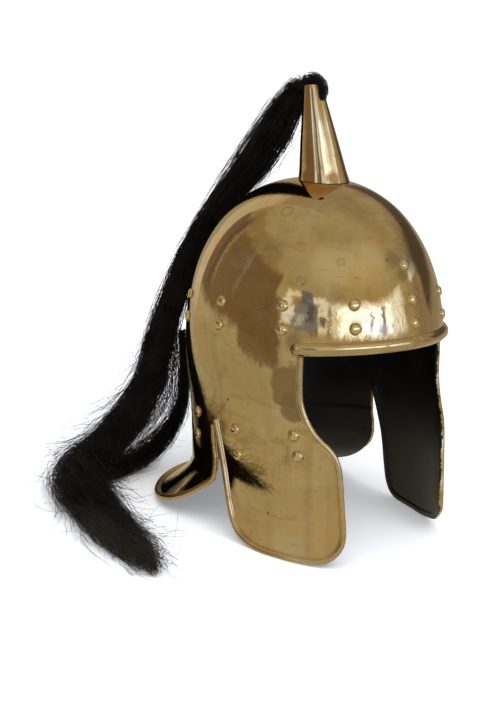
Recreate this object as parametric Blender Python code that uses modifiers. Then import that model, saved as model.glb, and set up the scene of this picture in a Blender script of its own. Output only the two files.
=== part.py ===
"""Plumed charioteer helmet: a brass skull with cheek guards and a flared neck guard,
a moulded brow, rolled rims, domed rivets, and a horsehair plume in a tall cone.

Lengths are in metres. The helmet is shaped upright about the centre of the skull's
widest ring, front towards -Y and the wearer's right towards -X, then pitched back
onto its cheek guards and neck guard, as it rests on a table.
"""
import math

import bmesh
import bpy
from mathutils import Matrix, Vector
from mathutils.bvhtree import BVHTree
from mathutils.geometry import delaunay_2d_cdt

# Skull and walls
HALF_WIDTH = 0.1084
HALF_DEPTH = 0.1200
DOME_HEIGHT = 0.1466
DOME_FULLNESS = 2.22
SHEET = 0.0012
WALL_DRAW_IN = 0.045
WALL_DRAW_DEPTH = 0.070
CHEEK_DROP = 0.1712

# Grid of the sheet
COLUMNS = 56
DOME_ROWS = 6
BAND_TOP = 0.058
ROW_STEP = 0.0150
OUTLINE_STEP = 0.0045
FLARE_ROWS = (0.0068, 0.0165, 0.0300)
FLARE_CLEAR = math.radians(2.0)
COLUMN_CLEAR = math.radians(3.0)
INNER_CLEAR = 0.0030
PROBE = 0.0004

# Brow moulding
BROW_RISE = 0.0135
BROW_ARCH = 0.0020
BROW_SPAN = math.radians(58.5)
BROW_HEIGHT = 0.0108
BROW_PROUD = 0.0040
BROW_LAP = 0.30

# Rolled rims
RIM_WIDTH = 0.0056
RIM_PROUD = 0.0026
SEAT = 0.0003
RIM_STEP = 0.0130

# Neck guard
NECK_DROP = 0.1390
NECK_REACH = 0.0290
NECK_EDGE = math.radians(98.9)
NECK_SLOPE = 0.45
NECK_BEND = 0.0220
NECK_KNEE = 0.04
NECK_STRAIGHT = 0.30
NECK_SPLIT = math.radians(98.4)
NOTCH_TOP = 0.0590
NOTCH_STEP = 0.0040
NOTCH_LEAN = math.radians(1.1)
LOWER_START = 0.0800
LOWER_SPAN = 0.1000

# Rivets
RIVET_RADIUS = 0.0044
RIVET_HEIGHT = 0.0027
SHANK_RADIUS = 0.0017
SHANK_HOLE = 0.0021
BAND_STEP = math.radians(31.5)
BAND_UPPER = 0.0473
BAND_LOWER = 0.0275
BAND_SLOPE = 0.035
BROW_RIVET_RISE = 0.0800

# Plume socket
SOCKET_HEIGHT = 0.0815
SOCKET_BASE = 0.0215
SOCKET_TOP = 0.0077
SOCKET_SHEET = 0.0012
SOCKET_LEAN_BACK = math.radians(3.9)
SOCKET_LEAN_SIDE = math.radians(-5.9)
SOCKET_FORWARD = 0.0100
SOCKET_SIDES = 24

# Plume
PLUME_RADIUS = 0.0180
PLUME_LOCKS = 6
LOCK_SHARE = 0.56
PLUME_FOLLOW = 9.0
ROOT_RISE = 0.0045
ROOT_DEPTH = 0.0160

# Outline of a cheek guard, front edge: angle from the front in degrees, drop as a
# share of the cheek's drop
CHEEK_FRONT = (
    (53.5, -0.090), (53.8, 0.000), (53.9, 0.060), (53.9, 0.120), (53.6, 0.180),
    (52.2, 0.238), (50.4, 0.285), (48.0, 0.330), (45.2, 0.367), (42.2, 0.400),
    (39.6, 0.440), (38.0, 0.480), (37.0, 0.530), (36.4, 0.600), (35.9, 0.680),
    (35.4, 0.760), (35.0, 0.830), (35.1, 0.872), (36.0, 0.912), (38.2, 0.950),
    (41.4, 0.980), (46.0, 0.998),
)
# Lower and rear edge: distance behind the centre as a share of the half depth, and
# drop as a share of the cheek's drop
CHEEK_REAR = (
    (-0.560, 0.996), (-0.420, 0.984), (-0.300, 0.973), (-0.215, 0.957), (-0.140, 0.932),
    (-0.075, 0.897), (-0.035, 0.860), (-0.005, 0.815), (0.025, 0.740), (0.048, 0.660),
    (0.072, 0.580), (0.098, 0.510), (0.122, 0.450), (0.146, 0.395), (0.160, 0.360),
    (0.168, 0.340),
)
# The left cheek guard is shorter at its front corner and fuller behind. Its rows
# stand in for those of the tables above between the two drops
LEFT_FRONT = (
    (35.3, 0.740), (35.2, 0.790), (37.0, 0.843), (40.9, 0.885), (46.8, 0.930),
)
LEFT_REAR = (
    (-0.587, 0.966), (-0.496, 0.978), (-0.388, 0.980), (-0.300, 0.971), (-0.215, 0.962),
    (-0.150, 0.954), (-0.105, 0.947), (-0.069, 0.936), (-0.031, 0.914), (-0.002, 0.880),
    (0.017, 0.840), (0.029, 0.790), (0.041, 0.730), (0.055, 0.650),
)
LEFT_FRONT_FROM = 0.70
LEFT_REAR_FROM = 0.60
# Rim of the neck guard: angle from the front in degrees, reach as a share of the
# full reach, drop as a share of the full drop
NECK_RIM = (
    (98.9, -0.17, 0.720), (99.4, -0.17, 0.765), (100.6, -0.16, 0.802), (102.6, -0.10, 0.832),
    (105.0, 0.00, 0.858), (110.0, 0.24, 0.912), (115.0, 0.50, 0.958), (120.0, 0.72, 0.988),
    (127.0, 0.90, 1.008), (135.0, 0.98, 1.013), (145.0, 1.00, 1.006), (155.0, 1.02, 0.998),
    (165.0, 1.03, 0.991), (180.0, 1.03, 0.986),
)
# Run of the plume from the socket's mouth to the tip: across, back and height as
# shares of half width, half depth and the height of the socket's mouth, then width
PLUME_RUN = (
    (-0.082, 0.242, 1.004, 0.31), (-0.098, 0.298, 1.012, 0.31), (-0.118, 0.366, 1.010, 0.38),
    (-0.130, 0.442, 0.985, 0.50), (-0.128, 0.515, 0.940, 0.66), (-0.124, 0.600, 0.878, 0.86),
    (-0.126, 0.712, 0.804, 0.95), (-0.137, 0.851, 0.737, 0.90), (-0.138, 1.000, 0.671, 0.83),
    (-0.169, 1.118, 0.602, 0.81), (-0.243, 1.179, 0.534, 0.79), (-0.350, 1.176, 0.466, 0.78),
    (-0.495, 1.126, 0.399, 0.79), (-0.629, 1.069, 0.334, 0.81), (-0.716, 1.026, 0.268, 0.81),
    (-0.795, 1.047, 0.206, 0.83), (-0.879, 1.100, 0.155, 0.89), (-0.977, 1.163, 0.098, 0.99),
    (-1.142, 1.183, 0.060, 1.14), (-1.342, 1.149, 0.042, 1.34), (-1.512, 1.024, 0.038, 1.52),
    (-1.636, 0.783, 0.037, 1.54), (-1.666, 0.605, 0.036, 1.32), (-1.792, 0.286, 0.034, 1.13),
    (-1.868, 0.015, 0.030, 0.95), (-1.890, -0.202, 0.024, 0.76), (-1.975, -0.420, 0.018, 0.48),
)
PLUME_FLOOR_FROM = 17
# Run of the loose lock that hangs inside the fold
LOOSE_RUN = (
    (-0.290, 1.150, 0.490, 0.34), (-0.390, 1.130, 0.410, 0.40), (-0.430, 1.120, 0.330, 0.42),
    (-0.420, 1.110, 0.260, 0.44), (-0.390, 1.130, 0.190, 0.46), (-0.360, 1.190, 0.110, 0.48),
    (-0.400, 1.240, 0.050, 0.48), (-0.550, 1.200, 0.025, 0.48), (-0.800, 1.110, 0.024, 0.46),
    (-1.050, 1.040, 0.024, 0.44), (-1.290, 1.030, 0.026, 0.42), (-1.480, 1.020, 0.030, 0.36),
)

BRASS = (0.42, 0.27, 0.075, 1.0)
RIVET_BRASS = (0.46, 0.30, 0.09, 1.0)
HORSEHAIR = (0.012, 0.010, 0.009, 1.0)


def material(name, colour, roughness, metallic):
    made = bpy.data.materials.new(name)
    made.use_nodes = True
    shader = made.node_tree.nodes["Principled BSDF"]
    shader.inputs["Base Color"].default_value = colour
    shader.inputs["Roughness"].default_value = roughness
    shader.inputs["Metallic"].default_value = metallic
    return made


def smooth(value):
    value = min(max(value, 0.0), 1.0)
    return value * value * (3.0 - 2.0 * value)


def lookup(table, key, column):
    """Value of a column at a key, read from a table with rising keys."""
    if key <= table[0][0]:
        return table[0][column]
    for low, high in zip(table, table[1:]):
        if key <= high[0]:
            share = (key - low[0]) / (high[0] - low[0])
            return low[column] + share * (high[column] - low[column])
    return table[-1][column]


def ring_share(height):
    """Size of the skull's ring at a height, as a share of its widest ring."""
    if height <= 0.0:
        return 1.0
    level = min(height / DOME_HEIGHT, 1.0)
    return (1.0 - level ** DOME_FULLNESS) ** (1.0 / DOME_FULLNESS)


def draw_in(angle, drop):
    """Share by which the wall draws in below the widest ring, beside the face."""
    side = smooth((math.degrees(abs(angle)) - 40.0) / 40.0)
    return 1.0 - WALL_DRAW_IN * side * smooth(drop / WALL_DRAW_DEPTH)


def ellipse(angle, share, reach, height):
    across = (HALF_WIDTH * share + reach) * math.sin(angle)
    along = -(HALF_DEPTH * share + reach) * math.cos(angle)
    return Vector((across, along, height))


def neck_profile(angle, share):
    """Reach and height on the neck guard, from where it leaves the wall to its rim."""
    degrees = math.degrees(abs(angle))
    wall = -WALL_DRAW_IN * HALF_DEPTH * smooth((degrees - 40.0) / 40.0)
    rim_reach = NECK_REACH * lookup(NECK_RIM, degrees, 1)
    rim_height = -NECK_DROP * lookup(NECK_RIM, degrees, 2)
    rim_reach = max(rim_reach, wall)
    flare = rim_reach - wall
    knee_height = rim_height + NECK_SLOPE * flare
    start_height = min(knee_height + NECK_BEND * min(1.0, 0.4 + flare / NECK_REACH), -LOWER_START)
    if share <= NECK_STRAIGHT:
        height = -LOWER_START + (start_height + LOWER_START) * share / NECK_STRAIGHT
        return wall, height
    step = (share - NECK_STRAIGHT) / (1.0 - NECK_STRAIGHT)
    knee_reach = wall + NECK_KNEE * flare
    reach = (1 - step) ** 2 * wall + 2 * step * (1 - step) * knee_reach + step ** 2 * rim_reach
    height = (1 - step) ** 2 * start_height + 2 * step * (1 - step) * knee_height
    height += step ** 2 * rim_height
    return reach, height


def skin(angle, level):
    """Point of the outer skin at an angle from the front. Level is the height above
    the widest ring, and below it minus the drop, or on the neck guard the run."""
    if level >= 0.0:
        return ellipse(angle, ring_share(level), 0.0, level)
    if abs(angle) > NECK_SPLIT and -level > LOWER_START:
        reach, height = neck_profile(angle, (-level - LOWER_START) / LOWER_SPAN)
        return ellipse(angle, 1.0, reach, height)
    return ellipse(angle, draw_in(angle, -level), 0.0, level)


def skin_normal(angle, level):
    """Outward normal of the skin."""
    near = PROBE
    turn = near / HALF_DEPTH
    side = -1.0 if abs(angle) > NECK_SPLIT and abs(angle) - turn < NECK_SPLIT else 1.0
    first = angle if side < 0 else angle - turn
    across = skin(angle + turn, level) - skin(first, level)
    if angle < 0 and side < 0:
        across = skin(angle, level) - skin(angle - turn, level)
    along = skin(angle, level + near) - skin(angle, level - near)
    return across.cross(along).normalized()


def brow_level(angle):
    """Height of the brow moulding's middle line."""
    return BROW_RISE + BROW_ARCH * math.cos(min(abs(angle) / BROW_SPAN, 1.0) * math.pi / 2)


def cheek_outline(side):
    """Outline of a cheek guard from the brow down its front and up its rear, as
    angles and levels."""
    front, rear = list(CHEEK_FRONT), list(CHEEK_REAR)
    if side > 0:
        front = [row for row in front if row[1] < LEFT_FRONT_FROM] + list(LEFT_FRONT)
        rear = list(LEFT_REAR) + [row for row in rear if row[1] < LEFT_REAR_FROM]
    points = []
    for degrees, drop in front:
        points.append((side * math.radians(degrees), -drop * CHEEK_DROP))
    for behind, drop in rear:
        ring = draw_in(math.radians(90.0), drop * CHEEK_DROP)
        angle = math.acos(-behind / ring)
        points.append((side * angle, -drop * CHEEK_DROP))
    return points


def neck_outline(side):
    """Edge of the neck guard from the notch down its side and along its rim to the
    back, as angles and levels."""
    points = []
    steps = 8
    for index in range(steps):
        share = index / steps
        run = LOWER_START + LOWER_SPAN - NOTCH_TOP - NOTCH_STEP
        level = NOTCH_TOP + NOTCH_STEP + run * share
        lean = NOTCH_LEAN * (1.0 - smooth(share * 2.2))
        points.append((side * (NECK_EDGE + lean), -level))
    for row in NECK_RIM[:-1]:
        points.append((side * math.radians(row[0]), -LOWER_START - LOWER_SPAN))
    return points


def thin_out(points, least):
    """Leaves out points of an outline that stand closer than the least distance."""
    kept = [points[0]]
    for point in points[1:]:
        if (skin(*point) - skin(*kept[-1])).length > least:
            kept.append(point)
    return kept


def rivet_places():
    """Name, angle and level of each rivet."""
    places = []
    angles = [step * BAND_STEP for step in range(-4, 5)]
    back = (4 * BAND_STEP + math.pi) / 2
    angles = [-back] + angles + [back]
    for index, angle in enumerate(angles):
        slope = BAND_SLOPE * HALF_DEPTH * math.cos(angle)
        places.append((f"band_rivet_upper_{index + 1:02d}", angle, BAND_UPPER + slope))
        places.append((f"band_rivet_lower_{index + 1:02d}", angle, BAND_LOWER + slope))
    places.append(("brow_rivet", 0.0, BROW_RIVET_RISE))
    cheek = ((57.5, 0.351), (55.7, 0.455), (86.5, 0.362), (85.2, 0.489))
    neck = ((116.0, 0.334), (117.3, 0.455))
    for side, name in ((-1, "right"), (1, "left")):
        for index, (degrees, drop) in enumerate(cheek):
            place = (f"{name}_cheek_rivet_{index + 1}", side * math.radians(degrees))
            places.append(place + (-drop * CHEEK_DROP,))
        for index, (degrees, drop) in enumerate(neck):
            place = (f"{name}_neck_rivet_{index + 1}", side * math.radians(degrees))
            places.append(place + (-drop * CHEEK_DROP,))
    return places


def add_object(name, mesh, slot, collection):
    mesh.materials.append(slot)
    made = bpy.data.objects.new(name, mesh)
    collection.objects.link(made)
    return made


def mesh_from(name, builder):
    """Mesh of a finished bmesh with merged points and outward faces."""
    bmesh.ops.remove_doubles(builder, verts=builder.verts, dist=1e-6)
    bmesh.ops.recalc_face_normals(builder, faces=builder.faces)
    mesh = bpy.data.meshes.new(name)
    builder.to_mesh(mesh)
    builder.free()
    return mesh


def loft(name, rings, closed_ends=True):
    """Solid through rings that hold the same number of points."""
    builder = bmesh.new()
    made = []
    for ring in rings:
        made.append([builder.verts.new(point) for point in ring])
    count = len(rings[0])
    for first, second in zip(made, made[1:]):
        for index in range(count):
            after = (index + 1) % count
            builder.faces.new((first[index], first[after], second[after], second[index]))
    if closed_ends:
        builder.faces.new(made[0])
        builder.faces.new(made[-1])
    bmesh.ops.triangulate(builder, faces=builder.faces)
    return mesh_from(name, builder)


def column_angles():
    return [-math.pi + 2.0 * math.pi * step / COLUMNS for step in range(COLUMNS + 1)]


def half_outline(side, lowest):
    """Lower edge of one side of the sheet, from the rear seam round the neck guard and
    the cheek guard to the middle of the brow."""
    columns = column_angles()
    neck = thin_out(neck_outline(side), OUTLINE_STEP)
    cheek = thin_out(cheek_outline(side), OUTLINE_STEP)
    corner = abs(cheek[0][0])
    half = [(side * math.pi, lowest)]
    for angle in reversed(columns):
        if abs(neck[-1][0]) + COLUMN_CLEAR < angle < math.pi - COLUMN_CLEAR / 10:
            half.append((side * angle, lowest))
    half.extend(reversed(neck))
    half.extend(reversed(cheek[1:]))
    half.append((side * corner, brow_level(corner) - BROW_HEIGHT * BROW_LAP))
    for angle in reversed(columns):
        if COLUMN_CLEAR / 10 < angle < corner - COLUMN_CLEAR:
            half.append((side * angle, brow_level(angle) - BROW_HEIGHT * BROW_LAP))
    return half


def sheet_domain():
    """Outline of the lower sheet in the plane of angle and level, running once round
    from the rear seam, and the levels of its inner rows."""
    lowest = -LOWER_START - LOWER_SPAN
    rows = []
    level = BAND_TOP - ROW_STEP
    while level > lowest + ROW_STEP / 2:
        rows.append(level)
        level -= ROW_STEP
    outline = [(angle, BAND_TOP) for angle in column_angles()]
    outline.extend((math.pi, level) for level in rows)
    outline.extend(half_outline(1, lowest))
    outline.append((0.0, brow_level(0.0) - BROW_HEIGHT * BROW_LAP))
    outline.extend(reversed(half_outline(-1, lowest)))
    outline.extend((-math.pi, level) for level in reversed(rows))
    return outline, rows


def inside(point, loop):
    """Whether a point lies inside a loop."""
    found = False
    count = len(loop)
    for index in range(count):
        x1, y1 = loop[index]
        x2, y2 = loop[(index + 1) % count]
        if (y1 > point[1]) != (y2 > point[1]):
            if point[0] < (x2 - x1) * (point[1] - y1) / (y2 - y1) + x1:
                found = not found
    return found


def loop_distance(point, loop):
    best = 1.0
    count = len(loop)
    spot = Vector(point)
    for index in range(count):
        start = Vector(loop[index])
        run = Vector(loop[(index + 1) % count]) - start
        share = min(max((spot - start).dot(run) / max(run.length_squared, 1e-12), 0.0), 1.0)
        best = min(best, (spot - start - run * share).length)
    return best


def shell_mesh():
    """Skull, cheek guards and neck guard as one sheet, cut to outline and pierced
    for the rivets."""
    outline, rows = sheet_domain()
    scale = HALF_DEPTH
    loop = [(angle * scale, level) for angle, level in outline]
    holes = []
    top_holes = []
    for name, angle, level in rivet_places():
        if level > BAND_TOP - SHANK_HOLE * 1.5:
            top_holes.append((angle, level))
            continue
        turn = PROBE / HALF_DEPTH
        spread = (skin(angle + turn, level) - skin(angle - turn, level)).length / turn / 2
        tall = (skin(angle, level + PROBE) - skin(angle, level - PROBE)).length / PROBE / 2
        hole = []
        for step in range(6):
            turn = math.tau * step / 6
            around = angle + SHANK_HOLE * math.cos(turn) / spread
            hole.append((around * scale, level + SHANK_HOLE * math.sin(turn) / tall))
        holes.append(hole)
    points = [Vector(point) for point in loop]
    edges = [(index, (index + 1) % len(loop)) for index in range(len(loop))]
    for hole in holes:
        start = len(points)
        points.extend(Vector(point) for point in hole)
        edges.extend((start + index, start + (index + 1) % 6) for index in range(6))
    flare = [-LOWER_START - LOWER_SPAN + rise for rise in FLARE_ROWS]
    for angle in column_angles()[1:-1]:
        if abs(angle) > NECK_SPLIT + FLARE_CLEAR:
            levels = [level for level in rows if level > flare[-1] + ROW_STEP / 2] + flare
        else:
            levels = rows
        for level in levels:
            spot = (angle * scale, level)
            if not inside(spot, loop) or loop_distance(spot, loop) < INNER_CLEAR:
                continue
            if any(loop_distance(spot, hole) < INNER_CLEAR or inside(spot, hole) for hole in holes):
                continue
            points.append(Vector(spot))
    found = delaunay_2d_cdt(points, edges, [], 0, 1e-7)
    builder = bmesh.new()
    made = [builder.verts.new(skin(point.x / scale, point.y)) for point in found[0]]
    for face in found[2]:
        middle = sum((found[0][index] for index in face), Vector((0.0, 0.0))) / len(face)
        spot = (middle.x, middle.y)
        if inside(spot, loop) and not any(inside(spot, hole) for hole in holes):
            builder.faces.new([made[index] for index in face])
    loose = [vert for vert in builder.verts if not vert.link_faces]
    bmesh.ops.delete(builder, geom=loose, context="VERTS")
    # crown above the band, ring by ring to the pole
    start_turn = math.asin((BAND_TOP / DOME_HEIGHT) ** (DOME_FULLNESS / 2.0))
    rings = []
    for row in range(DOME_ROWS):
        turn = start_turn + (math.pi / 2 - start_turn) * row / DOME_ROWS
        level = DOME_HEIGHT * math.sin(turn) ** (2.0 / DOME_FULLNESS)
        if row == 0:
            level = BAND_TOP
        rings.append([builder.verts.new(skin(angle, level)) for angle in column_angles()[:-1]])
    for lower, upper in zip(rings, rings[1:]):
        for index in range(COLUMNS):
            after = (index + 1) % COLUMNS
            builder.faces.new((lower[index], lower[after], upper[after], upper[index]))
    pole = builder.verts.new((0.0, 0.0, DOME_HEIGHT))
    for index in range(COLUMNS):
        after = (index + 1) % COLUMNS
        builder.faces.new((rings[-1][index], rings[-1][after], pole))
    bmesh.ops.remove_doubles(builder, verts=builder.verts, dist=2e-6)
    bmesh.ops.triangulate(builder, faces=builder.faces)
    bmesh.ops.recalc_face_normals(builder, faces=builder.faces)
    # the sheet is open below, so its facing is read at the crown
    if sum(face.normal.z for face in pole.link_faces) < 0.0:
        bmesh.ops.reverse_faces(builder, faces=builder.faces)
    mesh = bpy.data.meshes.new("brass_shell")
    builder.to_mesh(mesh)
    builder.free()
    return mesh, top_holes


def sweep(name, stations, section):
    """Solid swept along stations of point, outward normal, inward direction and
    size, with a section of (inward, outward) pairs."""
    rings = []
    for point, normal, inward, size in stations:
        ring = []
        for along, out in section:
            ring.append(point + inward * along * size[0] + normal * out * size[1])
        rings.append(ring)
    return loft(name, rings)


def edge_stations(outline, width, proud, side, sheet):
    """Stations along an outline of the sheet: the moulding's back lies on the sheet
    from the edge to its inner foot."""
    spots = [skin(*point) for point in outline]
    stations = []
    for index, spot in enumerate(spots):
        before = spots[max(index - 1, 0)]
        after = spots[min(index + 1, len(spots) - 1)]
        along = (after - before).normalized()
        facing = Vector((0.0, 0.0, 0.0))
        for place, normal, face, distance in sheet.find_nearest_range(spot, width * 0.6):
            facing += normal
        inward = facing.cross(along).normalized() * side
        foot = sheet.find_nearest(spot + inward * width)[0]
        chord = foot - spot
        chord = (chord - along * chord.dot(along)).normalized()
        normal = (along.cross(chord) * side).normalized()
        stations.append([spot, normal, chord, (width, proud)])
    return lift_to_seat(stations, sheet)


def lift_to_seat(stations, sheet):
    """Raises each station until the moulding's back clears the sheet by the seat,
    here and half way to its neighbours."""
    lifts = []
    for index, (spot, normal, chord, size) in enumerate(stations):
        lift = 0.0
        for other in (index - 1, index, index + 1):
            near = stations[min(max(other, 0), len(stations) - 1)]
            for share in (0.0, 0.25, 0.5):
                middle = spot.lerp(near[0], share)
                across = chord.lerp(near[2], share)
                facing = normal.lerp(near[1], share).normalized()
                for part in (0.15, 0.4, 0.7, 1.0):
                    place = middle + across * size[0] * part + facing * SEAT
                    found = sheet.find_nearest(place)
                    clear = (place - found[0]).dot(found[1])
                    lift = max(lift, SEAT - clear)
        lifts.append(lift)
    for station, lift in zip(stations, lifts):
        station[0] = station[0] + station[1] * lift
    return stations


def half_round(base):
    """Section of a moulding that is flat behind and rounded in front, seated at a
    small distance from the sheet."""
    steps = 4
    section = [(0.0, base)]
    for step in range(steps + 1):
        turn = math.pi * step / steps
        section.append((0.5 - 0.5 * math.cos(turn), base + (1.0 - base) * (0.25 + 0.75 * math.sin(turn))))
    section.append((1.0, base))
    return section


def fill_path(outline, longest):
    """Adds points to an outline where two stand farther apart than the longest."""
    filled = [outline[0]]
    for first, second in zip(outline, outline[1:]):
        gap = (skin(*second) - skin(*first)).length
        pieces = max(1, math.ceil(gap / longest))
        for piece in range(1, pieces + 1):
            share = piece / pieces
            filled.append((first[0] + (second[0] - first[0]) * share,
                           first[1] + (second[1] - first[1]) * share))
    return filled


def cheek_rim(side, name, sheet):
    outline = cheek_outline(side)
    top = (outline[0][0], brow_level(outline[0][0]) - BROW_HEIGHT / 2 - SEAT * 3)
    outline = [top] + [point for point in outline if point[1] < top[1] - RIM_WIDTH / 2]
    outline = thin_out(outline, OUTLINE_STEP)
    outline = fill_path(outline, RIM_STEP)
    stations = edge_stations(outline, RIM_WIDTH, RIM_PROUD, side, sheet)
    return sweep(name, stations, half_round(SEAT / RIM_PROUD))


def neck_rim(name, sheet):
    half = thin_out(neck_outline(1), OUTLINE_STEP)
    lowest = half[-1][1]
    last = half[-1][0]
    back = [angle for angle in column_angles() if last + COLUMN_CLEAR < angle]
    right = half + [(angle, lowest) for angle in back]
    stations = edge_stations(right, RIM_WIDTH, RIM_PROUD, 1, sheet)
    end = stations[-1]
    end[2] = Vector((0.0, end[2].y, end[2].z)).normalized()
    end[1] = Vector((0.0, end[1].y, end[1].z)).normalized()
    mirrored = []
    for point, normal, inward, size in reversed(stations[:-1]):
        flip = Vector((-1.0, 1.0, 1.0))
        mirrored.append([point * flip, normal * flip, inward * flip, size])
    return sweep(name, stations + mirrored, half_round(SEAT / RIM_PROUD))


def brow_bead(name):
    """Half-round moulding along the brow, with rounded ends."""
    steps = 22
    stations = []
    tips = (0.0, 0.35, 0.75)
    reach = BROW_HEIGHT / 2 / HALF_DEPTH
    for step in range(steps + 1):
        angle = -BROW_SPAN + 2.0 * BROW_SPAN * step / steps
        stations.append((angle, 1.0))
    ends = []
    for tip in tips[1:]:
        ends.append((reach * (1.0 - tip * 0.9), math.sqrt(1.0 - (1.0 - tip) ** 2) * 0.98))
    first = [(-BROW_SPAN - reach * 0.97, 0.22)]
    first += [(-BROW_SPAN - gap, size) for gap, size in ends]
    last = [(BROW_SPAN + gap, size) for gap, size in reversed(ends)]
    last += [(BROW_SPAN + reach * 0.97, 0.22)]
    made = []
    for angle, size in first + stations + last:
        level = brow_level(angle)
        point = skin(angle, level)
        normal = skin_normal(angle, level)
        up = Vector((0.0, 0.0, 1.0))
        up = (up - normal * up.dot(normal)).normalized()
        lift = 0.35 + 0.65 * size
        made.append([point, normal, up, (BROW_HEIGHT * size, BROW_PROUD * lift)])
    base = SEAT / BROW_PROUD * 1.2
    section = []
    for along, out in half_round(base):
        section.append((along - 0.5, out))
    return sweep(name, made, section)


def rivet_mesh(name, angle, level):
    """Domed rivet with a short shank through the sheet."""
    point = skin(angle, level)
    normal = skin_normal(angle, level)
    side = Vector((0.0, 0.0, 1.0)).cross(normal).normalized()
    rise = normal.cross(side)
    foot = SEAT * 1.6 + RIVET_RADIUS ** 2 / (2.0 * HALF_WIDTH)
    profile = [
        (RIVET_RADIUS * 0.66, foot + RIVET_HEIGHT * 0.76),
        (RIVET_RADIUS, foot),
        (SHANK_RADIUS, foot),
        (SHANK_RADIUS, -SHEET - SEAT),
    ]
    builder = bmesh.new()
    rings = []
    count = 8
    for radius, out in profile:
        ring = []
        for step in range(count):
            turn = math.tau * step / count
            reach = side * math.cos(turn) * radius + rise * math.sin(turn) * radius
            ring.append(builder.verts.new(point + reach + normal * out))
        rings.append(ring)
    for first, second in zip(rings, rings[1:]):
        for index in range(count):
            after = (index + 1) % count
            builder.faces.new((first[index], first[after], second[after], second[index]))
    peak = builder.verts.new(point + normal * (foot + RIVET_HEIGHT))
    for index in range(count):
        builder.faces.new((rings[0][index], rings[0][(index + 1) % count], peak))
    builder.faces.new(rings[-1])
    bmesh.ops.triangulate(builder, faces=builder.faces)
    return mesh_from(name, builder)


def socket_axis():
    lean = Vector((math.tan(SOCKET_LEAN_SIDE), math.tan(SOCKET_LEAN_BACK), 1.0)).normalized()
    foot = Vector((0.0, -SOCKET_FORWARD, 0.0))
    foot.z = dome_level(foot.x, foot.y)
    return foot, lean


def dome_level(across, along):
    ring = min(math.hypot(across / HALF_WIDTH, along / HALF_DEPTH), 1.0)
    return DOME_HEIGHT * (1.0 - ring ** DOME_FULLNESS) ** (1.0 / DOME_FULLNESS)


def seat_on_dome(start, end):
    """Point of a line, from a start outside to an end inside the skull, that stands a
    seat's distance off the skull."""
    low, high = 0.0, 1.0
    for step in range(40):
        middle = (low + high) / 2
        point = start.lerp(end, middle)
        if point.z - dome_level(point.x, point.y) > SEAT * 1.3:
            low = middle
        else:
            high = middle
    return start.lerp(end, low)


def socket_mesh(name):
    """Hollow cone whose foot follows the skull."""
    foot, lean = socket_axis()
    side = Vector((0.0, 1.0, 0.0)).cross(lean).normalized()
    back = lean.cross(side)
    outer_low, outer_high, inner_low, inner_high = [], [], [], []
    for step in range(SOCKET_SIDES):
        turn = math.tau * step / SOCKET_SIDES
        ray = side * math.cos(turn) + back * math.sin(turn)
        for low, high, wall in ((outer_low, outer_high, 0.0), (inner_low, inner_high, SOCKET_SHEET)):
            top = foot + lean * SOCKET_HEIGHT + ray * (SOCKET_TOP - wall)
            widen = (SOCKET_BASE - SOCKET_TOP) / SOCKET_HEIGHT
            bottom = foot - lean * SOCKET_BASE + ray * (SOCKET_BASE * (1.0 + widen) - wall)
            high.append(top)
            low.append(seat_on_dome(top, bottom))
    builder = bmesh.new()
    rings = []
    for ring in (outer_low, outer_high, inner_high, inner_low):
        rings.append([builder.verts.new(point) for point in ring])
    for index in range(4):
        first = rings[index]
        second = rings[(index + 1) % 4]
        for spot in range(SOCKET_SIDES):
            after = (spot + 1) % SOCKET_SIDES
            builder.faces.new((first[spot], first[after], second[after], second[spot]))
    bmesh.ops.triangulate(builder, faces=builder.faces)
    return mesh_from(name, builder)


def tube(name, stations, sides):
    """Tapered lock through stations of point, width and height."""
    rings = []
    count = len(stations)
    for index, (point, wide, tall) in enumerate(stations):
        before = stations[max(index - 1, 0)][0]
        after = stations[min(index + 1, count - 1)][0]
        along = (after - before).normalized()
        up = Vector((0.0, 0.0, 1.0))
        if abs(along.z) > 0.75:
            up = Vector((0.55, -0.83, 0.0))
        side = along.cross(up).normalized()
        rise = side.cross(along).normalized()
        if rings:
            # keep each ring turned as the one before it
            last_side = rings[-1][1]
            if side.dot(last_side) < 0:
                side = -side
            blend = side + last_side * 1.2
            side = (blend - along * blend.dot(along)).normalized()
            rise = side.cross(along).normalized()
        ring = []
        for step in range(sides):
            turn = math.tau * step / sides
            ring.append(point + side * math.cos(turn) * wide + rise * math.sin(turn) * tall)
        rings.append((ring, side))
    return loft(name, [ring for ring, side in rings])


def plume_places(run, mouth, start=None):
    """Stations of a run in the resting frame, from shares of the helmet's sizes. With
    a start given, the first stations follow it."""
    places = []
    for across, along, height, width in run:
        point = Vector((across * HALF_WIDTH, along * HALF_DEPTH, height * mouth.z))
        places.append((point, width * PLUME_RADIUS))
    if start is not None:
        shift = start - places[0][0]
        for index, (point, width) in enumerate(places):
            point += shift * (1.0 - smooth(index / PLUME_FOLLOW))
    return places


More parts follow.
